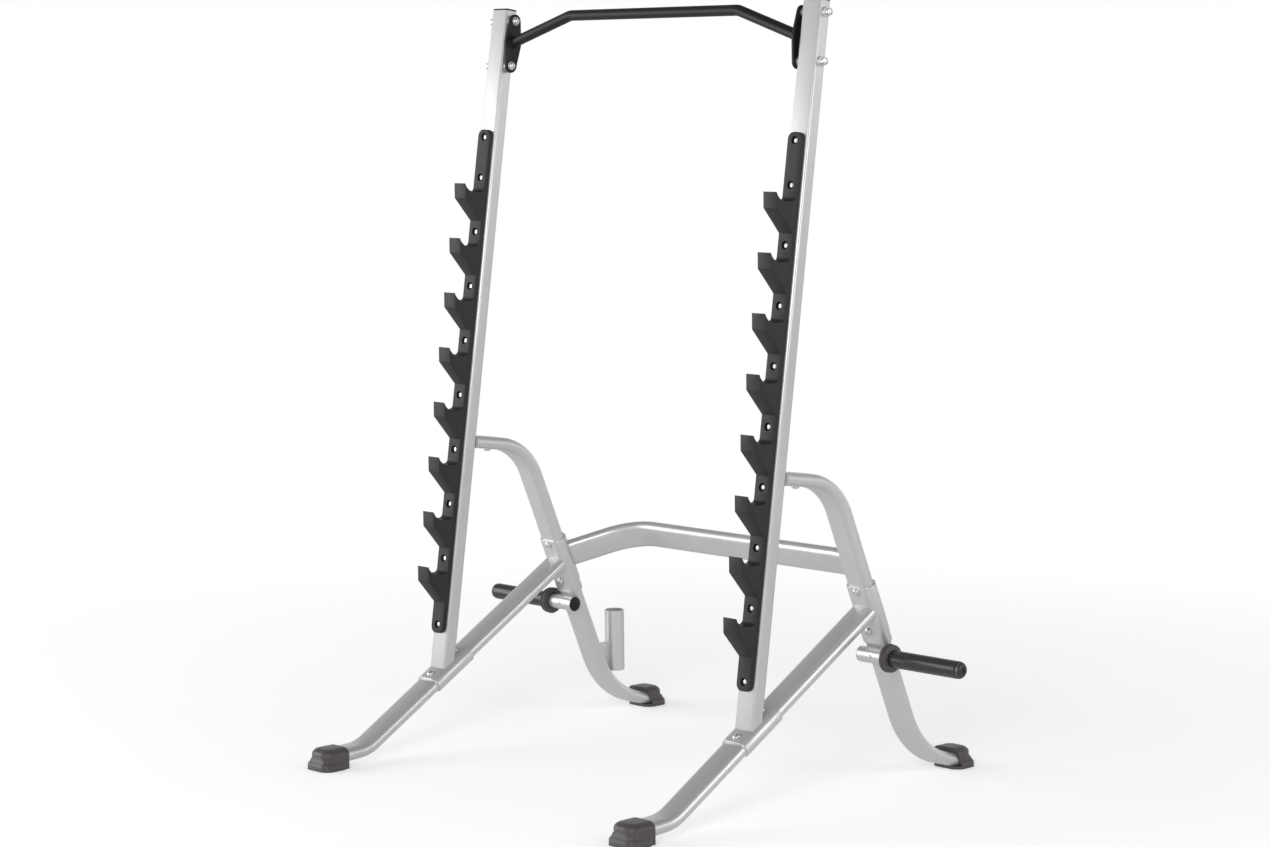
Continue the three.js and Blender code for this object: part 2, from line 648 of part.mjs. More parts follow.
// A pad standing on the floor, with its upper edge sloped off
function roundedPad(halfWide, long, corner, high, slopeHigh, slopeWide) {
  const wide = 2 * (halfWide - slopeWide);
  const plan = rectOutline(THREE.Shape, wide, long - 2 * slopeWide, corner - slopeWide);
  const bevel = { bevelThickness: slopeHigh, bevelSize: slopeWide, bevelSegments: 2, curveSegments: 2 };
  return new THREE.ExtrudeGeometry(plan, { depth: high - slopeHigh, ...bevel });
}

// The room on the tube's side of a foot's mouth, from a height up
function mouthCut(size, face, from) {
  const above = FOOT.high + FOOT.sole;
  const slant = (size.mouthTop - size.mouthFloor) / FOOT.high;
  const mouthAt = (z) => size.mouthFloor + slant * z;
  const behind = size.mouthTop - face * FAR;
  const shape = new THREE.Shape();
  shape.moveTo(mouthAt(from), from);
  shape.lineTo(mouthAt(above), above);
  shape.lineTo(behind, above);
  shape.lineTo(behind, from);
  shape.closePath();
  return slabAlongX(shape, 0, FAR);
}

const frontFoot = () => foot(FRONT_FOOT, new BentPath([
  [frontJoint],
  [toeCorner, BEND.toe, 4],
  [frontToeEnd.clone().add(yz(-GAP, -GAP * FRONT_TOE.slope))],
]));

const rearFoot = () => foot(REAR_FOOT, new BentPath([
  [rearJoint],
  [heelCorner, BEND.heel, 7],
  [rearToeEnd.clone().add(yz(GAP, GAP * REAR_TOE.slope))],
]));

const group = new THREE.Group();
const right = new THREE.Group();
right.position.x = FRAME_HALF;
const left = new THREE.Group();
left.position.x = -FRAME_HALF;
group.add(right, left);

function place(parent, name, geometry, look) {
  const mesh = new THREE.Mesh(geometry, new THREE.MeshStandardMaterial(look));
  mesh.name = name;
  parent.add(mesh);
}

// A piece of both side frames: as drawn on the right, and in mirror image on the left
function onBothSides(name, body, look) {
  const geometry = geometryOf(body);
  place(right, `${name}_right`, geometry, look);
  place(left, `${name}_left`, mirrored(geometry), look);
}

onBothSides('upright', upright(), silver);
onBothSides('upright_cap', postCap(), black);
onBothSides('low_tube', lowTube(), silver);
onBothSides('rear_leg', rearLeg(), silver);
onBothSides('front_sleeve', frontSleeve(), silver);
onBothSides('rear_sleeve', rearSleeve(), silver);
onBothSides('hook_rack', hookRack(), black);
onBothSides('front_foot', frontFoot(), rubber);
onBothSides('rear_foot', rearFoot(), rubber);
onBothSides('cross_plate', crossPlate(), silver);
onBothSides('bar_plate', barPlate(), black);
onBothSides('peg_tube', pegTube(), silver);
onBothSides('peg_plug', pegPlug(), black);
onBothSides('peg_collar', pegCollar(), rubber);
onBothSides('peg_sleeve', pegSleeve(), black);
onBothSides('peg_end', pegEnd(), black);
onBothSides('peg_screw', pegScrew(), steel);
onBothSides('arm_bolt', armBolt(), steel);
lowBolts.forEach((b, i) => onBothSides(`low_bolt_${i + 1}`, bolt(b.head, b.nut), steel));
legBolts.forEach((b, i) => onBothSides(`leg_bolt_${i + 1}`, bolt(b.head, b.nut), steel));
barBolts.forEach((b, i) => onBothSides(`bar_bolt_${i + 1}`, bolt(b.head, b.nut), steel));
place(group, 'cross_tube', geometryOf(crossTube()), silver);
place(group, 'pull_up_bar', geometryOf(pullUpBar()), black);
place(left, 'bar_holder', geometryOf(holderTube()), silver);
place(left, 'holder_bracket', geometryOf(holderBracket()), silver);

export default group;
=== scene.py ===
# %% [markdown]
# # Squat rack
# The rack has two leaning uprights on side frames of flat-oval steel tube, with black hook racks,
# a pull-up bar, plate pegs and rubber feet. The measured model is loaded first as a fixed frame. It
# could be dressed by smoothing its own meshes, but those are coarse triangles. So every piece is
# drawn anew where that model has it, with rounder bends, softened edges and a finish of its own.

import math

import bmesh
import bpy
from mathutils import Matrix, Vector


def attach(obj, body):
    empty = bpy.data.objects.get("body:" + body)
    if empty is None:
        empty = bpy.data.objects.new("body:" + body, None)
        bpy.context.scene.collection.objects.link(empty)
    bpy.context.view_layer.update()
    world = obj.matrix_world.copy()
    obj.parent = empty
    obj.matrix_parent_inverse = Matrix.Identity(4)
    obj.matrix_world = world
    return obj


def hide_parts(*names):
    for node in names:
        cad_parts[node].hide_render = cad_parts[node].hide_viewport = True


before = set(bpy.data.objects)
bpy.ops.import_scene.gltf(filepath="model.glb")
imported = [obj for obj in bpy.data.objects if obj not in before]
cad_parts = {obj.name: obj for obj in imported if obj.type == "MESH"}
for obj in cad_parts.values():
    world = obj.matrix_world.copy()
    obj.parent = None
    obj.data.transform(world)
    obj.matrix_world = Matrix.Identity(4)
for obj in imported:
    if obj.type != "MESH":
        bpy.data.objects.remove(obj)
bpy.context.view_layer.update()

# %% [markdown]
# ## Camera
# A picture of the rack is only comparable with the photograph from the same place. The camera stands
# in front and to the right, at head height, and looks slightly down. A long lens keeps the uprights
# nearly parallel. The photograph's middle lies below the lens axis. A deeper tilt would allow for
# that too, but it would make the uprights lean towards each other, so the lens is shifted instead.

# %% Camera
CAMERA_AT = Vector((6.135, -5.7918, 1.9106))
HEADING = math.radians(46.642)
DIP = math.radians(4.965)
ROLL = math.radians(-0.666)
PHOTO_WIDE = 1270              # in pixels, as are the next two
FOCAL_LENGTH = 3095
AXIS_ABOVE_MIDDLE = 80.3
SENSOR = 36                    # millimetres

looking = Vector((
    -math.sin(HEADING) * math.cos(DIP),
    math.cos(HEADING) * math.cos(DIP),
    -math.sin(DIP),
))
level = Vector((math.cos(HEADING), math.sin(HEADING), 0))
aimed = Matrix((level, level.cross(looking), -looking)).transposed() @ Matrix.Rotation(ROLL, 3, "Z")
lens = bpy.data.cameras.new("camera")
lens.sensor_width = SENSOR
lens.lens = FOCAL_LENGTH / PHOTO_WIDE * SENSOR
lens.shift_y = -AXIS_ABOVE_MIDDLE / PHOTO_WIDE
camera = bpy.data.objects.new("camera", lens)
camera.matrix_world = Matrix.Translation(CAMERA_AT) @ aimed.to_4x4()
bpy.context.scene.collection.objects.link(camera)
bpy.context.scene.camera = camera
print("lens", round(lens.lens, 2), "mm, shift", round(lens.shift_y, 4))

# %% [markdown]
# ## Shader maths
# A finish could be wired up node by node, but a formula is easier to read than a web of nodes. So a
# wire stands for one socket, and adding or multiplying wires adds the Math nodes. Every other kind of
# node comes from one method, which takes its settings first and its socket values after.

# %% Wires and finishes
MIX_SHARE = 0                  # the Mix node's sockets for colours
MIX_FIRST = 6
MIX_SECOND = 7
MIX_RESULT = 2


class Wire:
    """One output socket, with which numbers can be reckoned."""

    def __init__(self, web, socket):
        self.web = web
        self.socket = socket

    def reckon(self, operation, first, second):
        return self.web.node("ShaderNodeMath", {"operation": operation}, {0: first, 1: second})

    def __add__(self, other):
        return self.reckon("ADD", self, other)

    def __sub__(self, other):
        return self.reckon("SUBTRACT", self, other)

    def __rsub__(self, other):
        return self.reckon("SUBTRACT", other, self)

    def __mul__(self, other):
        return self.reckon("MULTIPLY", self, other)

    __radd__ = __add__
    __rmul__ = __mul__


class Web:
    """The nodes of one material or of the world."""

    def __init__(self, tree):
        self.tree = tree

    def plug(self, socket, value):
        if isinstance(value, Wire):
            self.tree.links.new(value.socket, socket)
        else:
            socket.default_value = value

    def node(self, kind, settings, sockets, output=0):
        made = self.tree.nodes.new(kind)
        for key, value in settings.items():
            if key == "stops":
                for element, (place, colour) in zip(made.color_ramp.elements, value):
                    element.position = place
                    element.color = colour
            else:
                setattr(made, key, value)
        for key, value in sockets.items():
            self.plug(made.inputs[key], value)
        return Wire(self, made.outputs[output])

    def noise(self, scale, detail=3):
        place = self.node("ShaderNodeTexCoord", {}, {}, "Object")
        return self.node("ShaderNodeTexNoise", {}, {"Vector": place, "Scale": scale, "Detail": detail})

    def bump(self, height, strength, deep):
        return self.node("ShaderNodeBump", {}, {"Strength": strength, "Distance": deep, "Height": height})

    def between(self, first, second, share):
        sockets = {MIX_SHARE: share, MIX_FIRST: (*first, 1), MIX_SECOND: (*second, 1)}
        return self.node("ShaderNodeMix", {"data_type": "RGBA"}, sockets, MIX_RESULT)


class Finish(Web):
    """A material with a Principled shader. The slot that it belongs to is kept, but nothing uses it."""

    def __init__(self, name, slot):
        self.slot = slot
        self.material = bpy.data.materials.new(name)
        self.material.use_nodes = True
        super().__init__(self.material.node_tree)
        self.shader = self.tree.nodes["Principled BSDF"]
        self.output = self.tree.nodes["Material Output"]

    def wear(self, **sockets):
        for key, value in sockets.items():
            self.plug(self.shader.inputs[key.replace("_", " ")], value)


# %% [markdown]
# ## Finishes
# The frame is powder-coated: a silver paint baked from powder, with a fine metallic speckle and a
# faint orange peel. One flat grey would look like plastic. On the real coat small flakes change both
# tone and shine from point to point, so a fine noise drives the colour and the roughness, a coarser
# one a very shallow bump, and a slow noise clouds the coat a little.

# %% Powder coats
FLAKES = 1400                  # scales of the noises
CLOUDS = 7
PEEL = 420
PEEL_DEEP = 0.0004


def powder_coat(name, slot, dark, light, metallic, rough, peel, shine):
    finish = Finish(name, slot)
    speckle = finish.noise(FLAKES, detail=2)
    cloud = finish.noise(CLOUDS)
    finish.wear(
        Base_Color=finish.between(dark, light, 0.65 * speckle + 0.35 * cloud),
        Metallic=metallic,
        Specular_IOR_Level=shine,
        Roughness=rough - 0.05 + 0.1 * speckle,
        Normal=finish.bump(finish.noise(PEEL, detail=2), peel, PEEL_DEEP),
    )
    return finish


silver = powder_coat(
    "silver_coat", "frame_silver",
    dark=(0.50, 0.50, 0.50), light=(0.72, 0.72, 0.72),
    metallic=0.65, rough=0.34, peel=0.10, shine=0.5,
)
black_coat = powder_coat(
    "black_coat", "black_coat",
    dark=(0.005, 0.004, 0.004), light=(0.014, 0.013, 0.013),
    metallic=0.0, rough=0.42, peel=0.25, shine=0.24,
)
print("silver coat", len(silver.tree.nodes), "nodes")

# %% [markdown]
# The hook racks have a slight texture, which spreads their shine. The rubber of the feet and collars
# is smoother, and the pegs' sleeves are the glossiest. All are nearly black, so their colour hardly
# varies. One black for all three would lose what tells them apart: how rough they are, and how large
# their grain is. So the function is given those.

# %% Hook racks, rubber and peg sleeves
SMUDGES = 14
GRAIN_DEEP = 0.0005


def moulded(name, slot, dark, light, rough, grain_scale, grain, shine):
    finish = Finish(name, slot)
    texture = finish.noise(grain_scale, detail=4)
    smudge = finish.noise(SMUDGES)
    finish.wear(
        Base_Color=finish.between(dark, light, 0.5 * texture + 0.5 * smudge),
        Specular_IOR_Level=shine,
        Roughness=rough - 0.08 + 0.16 * smudge,
        Normal=finish.bump(texture, grain, GRAIN_DEEP),
    )
    return finish


hook_black = moulded(
    "hook_black", "hook_black",
    dark=(0.013, 0.011, 0.012), light=(0.030, 0.025, 0.028),
    rough=0.50, grain_scale=650, grain=0.30, shine=0.28,
)
rubber = moulded(
    "foot_rubber", "rubber",
    dark=(0.052, 0.045, 0.047), light=(0.098, 0.087, 0.091),
    rough=0.40, grain_scale=300, grain=0.05, shine=0.40,
)
peg_black = moulded(
    "peg_black", "black_coat",
    dark=(0.016, 0.014, 0.014), light=(0.034, 0.031, 0.032),
    rough=0.27, grain_scale=300, grain=0.06, shine=0.5,
)
print("rubber", len(rubber.tree.nodes), "nodes")

# %% [markdown]
# Zinc plating is thin and bright, and shows the turning marks of the steel below. True rings would
# need each bolt's own axis and would hardly be seen at this size, so a fine noise stands for them.

# %% Zinc
MARKS = 520
MARKS_DEEP = 0.0002
MARKS_STRENGTH = 0.12


def zinc_plate():
    finish = Finish("zinc_plate", "zinc")
    marks = finish.noise(MARKS, detail=2)
    finish.wear(
        Base_Color=finish.between((0.55, 0.55, 0.56), (0.80, 0.79, 0.77), marks),
        Metallic=1.0,
        Roughness=0.22 + 0.14 * marks,
        Normal=finish.bump(marks, MARKS_STRENGTH, MARKS_DEEP),
    )
    return finish


zinc = zinc_plate()
print("zinc", len(zinc.tree.nodes), "nodes")

# %% [markdown]
# ## Drawing tools
# Nearly every piece is a ring that is pushed along a line and round bends, or a flat outline with a
# thickness. A bent tube could be a curve with a bevel depth, but its bends would only be near the
# real ones. A sweep extrudes a ring along each straight and spins it round each bend, so the bends
# are true arcs, as a tube bender makes them.

# %% Rings and sweeps
RIGHT = Vector((1, 0, 0))
UP = Vector((0, 0, 1))
SMALL = 1e-6


def edges_of(geometry):
    return [g for g in geometry if isinstance(g, bmesh.types.BMEdge)]


def verts_of(geometry):
    return [g for g in geometry if isinstance(g, bmesh.types.BMVert)]


def place_basis(bm, place, x_axis, y_axis, z_axis):
    """Moves a drawing from the origin to a place, and turns its axes to the given ones."""
    turn = Matrix((x_axis, y_axis, z_axis)).transposed().to_4x4()
    bmesh.ops.transform(bm, matrix=Matrix.Translation(place) @ turn, verts=bm.verts)


def aim(bm, place, direction):
    """Moves a drawing from the origin to a place, and aims its Z axis in a direction."""
    side = direction.orthogonal().normalized()
    place_basis(bm, place, side, direction.cross(side), direction)


def round_ring(radius, segments=40):
    bm = bmesh.new()
    bmesh.ops.create_circle(bm, cap_ends=False, radius=radius, segments=segments)
    return bm


def oval_ring(wide, thick):
    """A circle whose halves are moved apart."""
    bm = round_ring(thick / 2)
    for vert in bm.verts:
        if abs(vert.co.x) > SMALL:
            vert.co.x += math.copysign((wide - thick) / 2, vert.co.x)
    return bm


def push(bm, edges, move):
    pushed = bmesh.ops.extrude_edge_only(bm, edges=edges)["geom"]
    bmesh.ops.translate(bm, verts=verts_of(pushed), vec=move)
    return edges_of(pushed)


def sweep(bm, across, corners, steps=20):
    """Runs a ring along corners, each a (point, bend radius), and closes both ends."""
    points = [point for point, radius in corners]
    along = (points[1] - points[0]).normalized()
    place_basis(bm, points[0], across, along.cross(across), along)
    edges = bm.edges[:]
    bmesh.ops.contextual_create(bm, geom=edges)
    here = points[0]
    for before, (point, radius), after in zip(points, corners[1:], points[2:]):
        into = (point - before).normalized()
        out = (after - point).normalized()
        turn = into.angle(out)
        start = point - into * radius * math.tan(turn / 2)
        edges = push(bm, edges, start - here)
        centre = start + (out - into * out.dot(into)).normalized() * radius
        axis = into.cross(out).normalized()
        spun = bmesh.ops.spin(bm, geom=edges, cent=centre, axis=axis, angle=turn, steps=steps)
        edges = edges_of(spun["geom_last"])
        here = point + out * radius * math.tan(turn / 2)
    edges = push(bm, edges, points[-1] - here)
    bmesh.ops.contextual_create(bm, geom=edges)
    return bm


# %% [markdown]
# An outline could be a long list of points, but a list hides what is straight and what is round. A
# pen draws it instead, by extruding one vertex and spinning it round its arcs. Real edges are never
# sharp, and the line of light along a rounded edge is what makes metal read as metal. So once an
# outline has thickness, its sharp edges are bevelled by a millimetre or two.

# %% Pen, thickness and edges
SHARP = math.radians(40)


class Pen:
    """Draws a closed outline from straight lines and arcs."""

    def __init__(self, bm, start):
        self.bm = bm
        self.first = bmesh.ops.create_vert(bm, co=start)["vert"][0]
        self.tip = self.first

    def line(self, to):
        drawn = bmesh.ops.extrude_vert_indiv(self.bm, verts=[self.tip])["verts"][0]
        drawn.co = to
        self.tip = drawn

    def arc(self, centre, axis, angle, steps):
        spun = bmesh.ops.spin(self.bm, geom=[self.tip], cent=centre, axis=axis, angle=angle, steps=steps)
        self.tip = verts_of(spun["geom_last"])[0]

    def close(self):
        self.bm.edges.new((self.tip, self.first))
        bmesh.ops.remove_doubles(self.bm, verts=self.bm.verts, dist=SMALL)
        return bmesh.ops.contextual_create(self.bm, geom=self.bm.edges[:])["faces"][0]


def thicken(bm, face, move):
    pushed = bmesh.ops.extrude_face_region(bm, geom=[face])["geom"]
    bmesh.ops.translate(bm, verts=verts_of(pushed), vec=move)
    bmesh.ops.recalc_face_normals(bm, faces=bm.faces)


def soften(bm, edges, width, segments=2):
    bmesh.ops.bevel(bm, geom=edges, offset=width, offset_type="OFFSET", affect="EDGES", segments=segments,
                    profile=0.5, material=-1, clamp_overlap=True)


def sharp_edges(bm):
    return [e for e in bm.edges if len(e.link_faces) == 2 and e.calc_face_angle(0) > SHARP]


# %% [markdown]
# Bolt heads, bushings and the pegs' parts are turned on a lathe, so they are made as a lathe makes
# them. A half profile is spun once round its axis. A plain disc has no profile worth drawing, so it
# starts as a cylinder, and gets eased rims where they show.


# %% Turned shapes
def spin_round(bm, axis, steps):
    bmesh.ops.spin(bm, geom=bm.verts[:] + bm.edges[:], cent=(0, 0, 0), axis=axis, angle=2 * math.pi,
                   steps=steps, use_merge=True)


def turn_profile(profile, steps):
    """Spins a profile of (radius, height) points round Z. It starts and ends on the axis."""
    bm = bmesh.new()
    pen = Pen(bm, (profile[0][0], 0, profile[0][1]))
    for radius, height in profile[1:]:
        pen.line((radius, 0, height))
    spin_round(bm, UP, steps)
    bmesh.ops.remove_doubles(bm, verts=bm.verts, dist=SMALL)
    return bm


def disc(bm, radius, low, high, rim=0.0, segments=32):
    """Adds a closed cylinder on the Z axis, from one height to another."""
    middle = Matrix.Translation((0, 0, (low + high) / 2))
    cylinder = bmesh.ops.create_cone(bm, cap_ends=True, segments=segments, radius1=radius, radius2=radius,
                                     depth=high - low, matrix=middle)
    if rim:
        added = set(cylinder["verts"])
        soften(bm, [edge for edge in sharp_edges(bm) if added.issuperset(edge.verts)], rim)


# %% [markdown]
# ## Pieces
# A finished bmesh becomes an object that rides on the rack and stands for its node. Both sides could
# share one object with a Mirror modifier, but each side has a node of its own, so the left twin is
# a mirrored copy. Mirroring turns faces inside out, so they are turned back.

# %% Pieces
SIDE = 0.614                   # from the rack's middle to each side frame's own middle plane
SMOOTH_BELOW = math.radians(38)


def dress(name, mesh, finish, node):
    mesh.shade_smooth()
    mesh.set_sharp_from_angle(angle=SMOOTH_BELOW)
    mesh.materials.clear()
    mesh.materials.append(finish.material)
    piece = bpy.data.objects.new(name, mesh)
    bpy.context.scene.collection.objects.link(piece)
    if node:
        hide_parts(node)
    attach(piece, "root")


def mesh_of(name, bm):
    bmesh.ops.remove_doubles(bm, verts=bm.verts, dist=SMALL)
    bmesh.ops.recalc_face_normals(bm, faces=bm.faces)
    mesh = bpy.data.meshes.new(name)
    bm.to_mesh(mesh)
    bm.free()
    return mesh


def single(name, bm, finish, node):
    mesh = mesh_of(name, bm)
    dress(name, mesh, finish, node)
    print(name, len(mesh.polygons), "faces")


def pair(name, bm, finish, node=None):
    """A piece drawn about x = 0, put on the right side and in mirror image on the left."""
    bmesh.ops.translate(bm, verts=bm.verts, vec=RIGHT * SIDE)
    mesh = mesh_of(name, bm)
    twin = bmesh.new()
    twin.from_mesh(mesh)
    bmesh.ops.scale(twin, verts=twin.verts, vec=(-1, 1, 1))
    bmesh.ops.reverse_faces(twin, faces=twin.faces)
    other = bpy.data.meshes.new(name + "_twin")
    twin.to_mesh(other)
    twin.free()
    dress("right_" + name, mesh, finish, node and node + "_right")
    dress("left_" + name, other, finish, node and node + "_left")
    print("pair of", name, len(mesh.polygons), "faces each")


# %% [markdown]
# Wells and sockets could be drawn into each outline by hand, but a maker drills them. A boolean does
# the same here: it cuts closed shapes out of a piece, or joins them to it, and leaves a plain mesh.


# %% Cutting and joining
def join_solids(base, others, operation):
    """Joins closed shapes to a bmesh, or cuts them out of it, and returns a new bmesh."""
    holder = bpy.data.objects.new("base", mesh_of("base", base))
    bpy.context.scene.collection.objects.link(holder)
    tools = []
    for other in others:
        tool = bpy.data.objects.new("tool", mesh_of("tool", other))
        bpy.context.scene.collection.objects.link(tool)
        tools.append(tool)
        boolean = holder.modifiers.new("join", "BOOLEAN")
        boolean.operation = operation
        boolean.solver = "EXACT"
        boolean.object = tool
    bpy.context.view_layer.update()
    result = bmesh.new()
    result.from_object(holder, bpy.context.evaluated_depsgraph_get())
    for used in [holder, *tools]:
        bpy.data.objects.remove(used)
    return result


# %% [markdown]
# ## The side frame's lines
# Each side frame lies in one upright plane, so its middle lines are plain slopes in Y and Z. The low
# tube climbs to the rear, the rear leg falls to the rear, and the upright leans back through both.
# The joints could be typed in as points, but where two lines cross is worked out here, so that the
# tubes meet whatever the slopes are.

# %% Middle lines
GAP = 0.0003                   # left between pieces that touch
OVAL_WIDE = 0.080
OVAL_THICK = 0.036
HALF_THICK = OVAL_THICK / 2
SLEEVE = 0.005                 # how far a sleeve stands proud of its tube
POST_WIDE = 0.064
POST_DEEP = 0.040
LEAN = math.radians(8.38)
POST_FOOT_Y = -0.2263          # where the upright's middle line would reach the floor
FRONT_TOE_END = -0.612
REAR_TOE_END = 0.612


def at(y, z):
    return Vector((0, y, z))


class Line:
    """A middle line: its height at y = 0, and its rise for each metre towards the rear."""

    def __init__(self, height, slope):
        self.height = height
        self.slope = slope

    def at_y(self, y):
        return at(y, self.height + self.slope * y)

    def at_z(self, z):
        return at((z - self.height) / self.slope, z)

    def meets(self, other):
        return self.at_y((other.height - self.height) / (self.slope - other.slope))

    def rearward(self):
        return at(1, self.slope).normalized()

    def upper_side(self):
        return at(-self.slope, 1).normalized()


def post_at(z):
    return at(POST_FOOT_Y + z * math.tan(LEAN), z)


post_line = Line(-POST_FOOT_Y / math.tan(LEAN), 1 / math.tan(LEAN))
low_line = Line(0.3266, 0.5938)
leg_line = Line(1.1249, -2.4083)
arm_line = Line(0.8553, -math.tan(LEAN))
front_toe_line = Line(0.0618, 0.0507)
rear_toe_line = Line(0.0837, -0.1)

post_dir = at(math.sin(LEAN), math.cos(LEAN))
post_front = at(-math.cos(LEAN), math.sin(LEAN))
arm_dir = -post_front
low_dir = low_line.rearward()
low_up = low_line.upper_side()
leg_dir = -leg_line.rearward()
leg_back = leg_line.upper_side()

rear_joint = low_line.meets(leg_line)
front_joint = low_line.meets(post_line)
arm_start = arm_line.meets(post_line)
arch_corner = arm_line.meets(leg_line)
heel_corner = rear_toe_line.meets(leg_line)
toe_corner = front_toe_line.meets(low_line)
front_toe = front_toe_line.at_y(FRONT_TOE_END)
rear_toe = rear_toe_line.at_y(REAR_TOE_END)
print("rear joint", [round(c, 4) for c in rear_joint], "front joint", [round(c, 4) for c in front_joint])

# %% [markdown]
# ## Side frame tubes
# The low tube and the rear leg are each one bent length of flat-oval tube. They could be hollow, but
# their ends are hidden in joints and feet, so closed shells are enough. The low tube runs a little
# into the rear sleeve, as a tube coped to sit on it does.

# %% Low tube and rear leg
LOW_TOP = -0.017               # where the low tube stops, before the rear joint's middle
ARCH_BEND = 0.166              # bend radii of the middle lines
HEEL_BEND = 0.242
TOE_BEND = 0.120

low_path = [
    (rear_joint + low_dir * LOW_TOP, 0),
    (toe_corner, TOE_BEND),
    (front_toe, 0),
]
leg_path = [
    (arm_start + arm_dir * (POST_DEEP / 2 + GAP), 0),
    (arch_corner, ARCH_BEND),
    (heel_corner, HEEL_BEND),
    (rear_toe, 0),
]
pair("low_tube", sweep(oval_ring(OVAL_WIDE, OVAL_THICK), RIGHT, low_path), silver, "low_tube")
pair("rear_leg", sweep(oval_ring(OVAL_WIDE, OVAL_THICK), RIGHT, leg_path), silver, "rear_leg")

# %% [markdown]
# A sleeve of slightly larger tube wraps each joint. It stands 5 mm proud, and its rim shows as a fine
# line of light with a line of shadow under it. Making the tube itself thicker there would lose that
# line, so each sleeve is a short tube of its own with rounded ends.

# %% Sleeves
FRONT_SLEEVE = (-0.054, 0.094)   # its ends along the tube, from the joint
REAR_SLEEVE = (-0.100, 0.074)
SLEEVE_RIM = 0.0018


def sleeve(joint, direction, ends):
    ring = oval_ring(OVAL_WIDE + 2 * SLEEVE, OVAL_THICK + 2 * SLEEVE)
    bm = sweep(ring, RIGHT, [(joint + direction * end, 0) for end in ends])
    bmesh.ops.recalc_face_normals(bm, faces=bm.faces)
    soften(bm, sharp_edges(bm), SLEEVE_RIM, segments=3)
    return bm


pair("front_sleeve", sleeve(front_joint, low_dir, FRONT_SLEEVE), silver, "front_sleeve")
pair("rear_sleeve", sleeve(rear_joint, leg_dir, REAR_SLEEVE), silver, "rear_sleeve")

# %% [markdown]
# ## Uprights
# The upright is a rectangular tube with rounded corners, cut to sit on the front sleeve. It could be
# swept as the other tubes are, but it is straight, so a cube scaled to its section and bevelled along
# its long edges gives the same corners with less work. Near the top, two round bushings go through it
# and hold the pull-up bar's plate a little way off, so two discs are joined to it.

# %% Uprights and caps
RACK_HIGH = 2.103
CAP = 0.004
CAP_RIM = 0.0016
POST_CORNER = 0.007
POST_RIM = 0.0006
POST_START = 0.014             # the upright's lower end, above the front joint's middle
PLATE_MIDDLE = 2.002           # height of the middle of the pull-up bar's plate
PLATE_BOLTS = 0.064            # from the plate's middle to each of its bolts
BOSS_RADIUS = 0.013
BOSS_INNER = 0.011             # how far a bushing stands out, to the bar and away from it
BOSS_OUTER = 0.009
BOSS_RIM = 0.0010


def post_block(low, high, rim):
    """A block with the upright's section, from one height of its middle line to another."""
    bm = bmesh.new()
    bmesh.ops.create_cube(bm, size=1)
    foot = post_at(low)
    top = post_at(high)
    bmesh.ops.scale(bm, verts=bm.verts, vec=(POST_WIDE, POST_DEEP, (top - foot).length))
    long_edges = [e for e in bm.edges if abs(e.verts[0].co.z - e.verts[1].co.z) > SMALL]
    soften(bm, long_edges, POST_CORNER, segments=6)
    soften(bm, sharp_edges(bm), rim)
    place_basis(bm, (foot + top) / 2, RIGHT, arm_dir, post_dir)
    return bm


def boss(middle):
    """A round bushing through the upright, which stands out on both sides."""
    bm = bmesh.new()
    disc(bm, BOSS_RADIUS, -POST_WIDE / 2 - BOSS_INNER, POST_WIDE / 2 + BOSS_OUTER, BOSS_RIM, segments=40)
    aim(bm, middle, RIGHT)
    return bm


bar_bolt_middles = [post_at(PLATE_MIDDLE) + post_dir * PLATE_BOLTS * way for way in (-1, 1)]
post_top = RACK_HIGH - POST_DEEP / 2 * math.sin(LEAN)
post = post_block(front_joint.z + POST_START, post_top - CAP - GAP, POST_RIM)
post = join_solids(post, [boss(middle) for middle in bar_bolt_middles], "UNION")
pair("upright", post, silver, "upright")
pair("upright_cap", post_block(post_top - CAP, post_top, CAP_RIM), black_coat, "upright_cap")

# %% [markdown]
# ## Hook racks
# Each rack is one bar with eight hooks. Eight separate hooks set on a bar would leave seams that the
# real piece doesn't have. So its whole side view is one outline: up the flat back, over the top, and
# down the front, where each hook repeats a rounded seat for the bar, a curved lip, a blunt nose and
# a slanting underside. The outline gets the rack's width, and then the ends and all edges are rounded.

# %% Hook racks
RACK_WIDE = 0.049
RACK_THICK = 0.0144
RACK_TOP = 1.7584              # heights
RACK_BOTTOM = 0.3281
RACK_END = 0.019               # radius of the rounded ends, seen from the front
RACK_RIM = 0.0026
HOOKS = 8
PITCH = 0.15474                # from one hook to the next, straight down
FIRST_TIP = 1.6082             # height of the highest hook's tip
TIP_REACH = 0.0728
NOSE_HIGH = 0.043
HOOK_HIGH = 0.110
CRADLE_DEEP = 0.026
CRADLE_ARC = 0.037             # radius of the lip's curve
CRADLE_FILLET = 0.012          # radius where the seat meets the bar
NEAR = 1e-5


def rack_front(z):
    """The place in y of the bar's front face, at a height."""
    reach = (POST_DEEP / 2 + GAP + RACK_THICK) / math.cos(LEAN)
    return POST_FOOT_Y + z * math.tan(LEAN) - reach


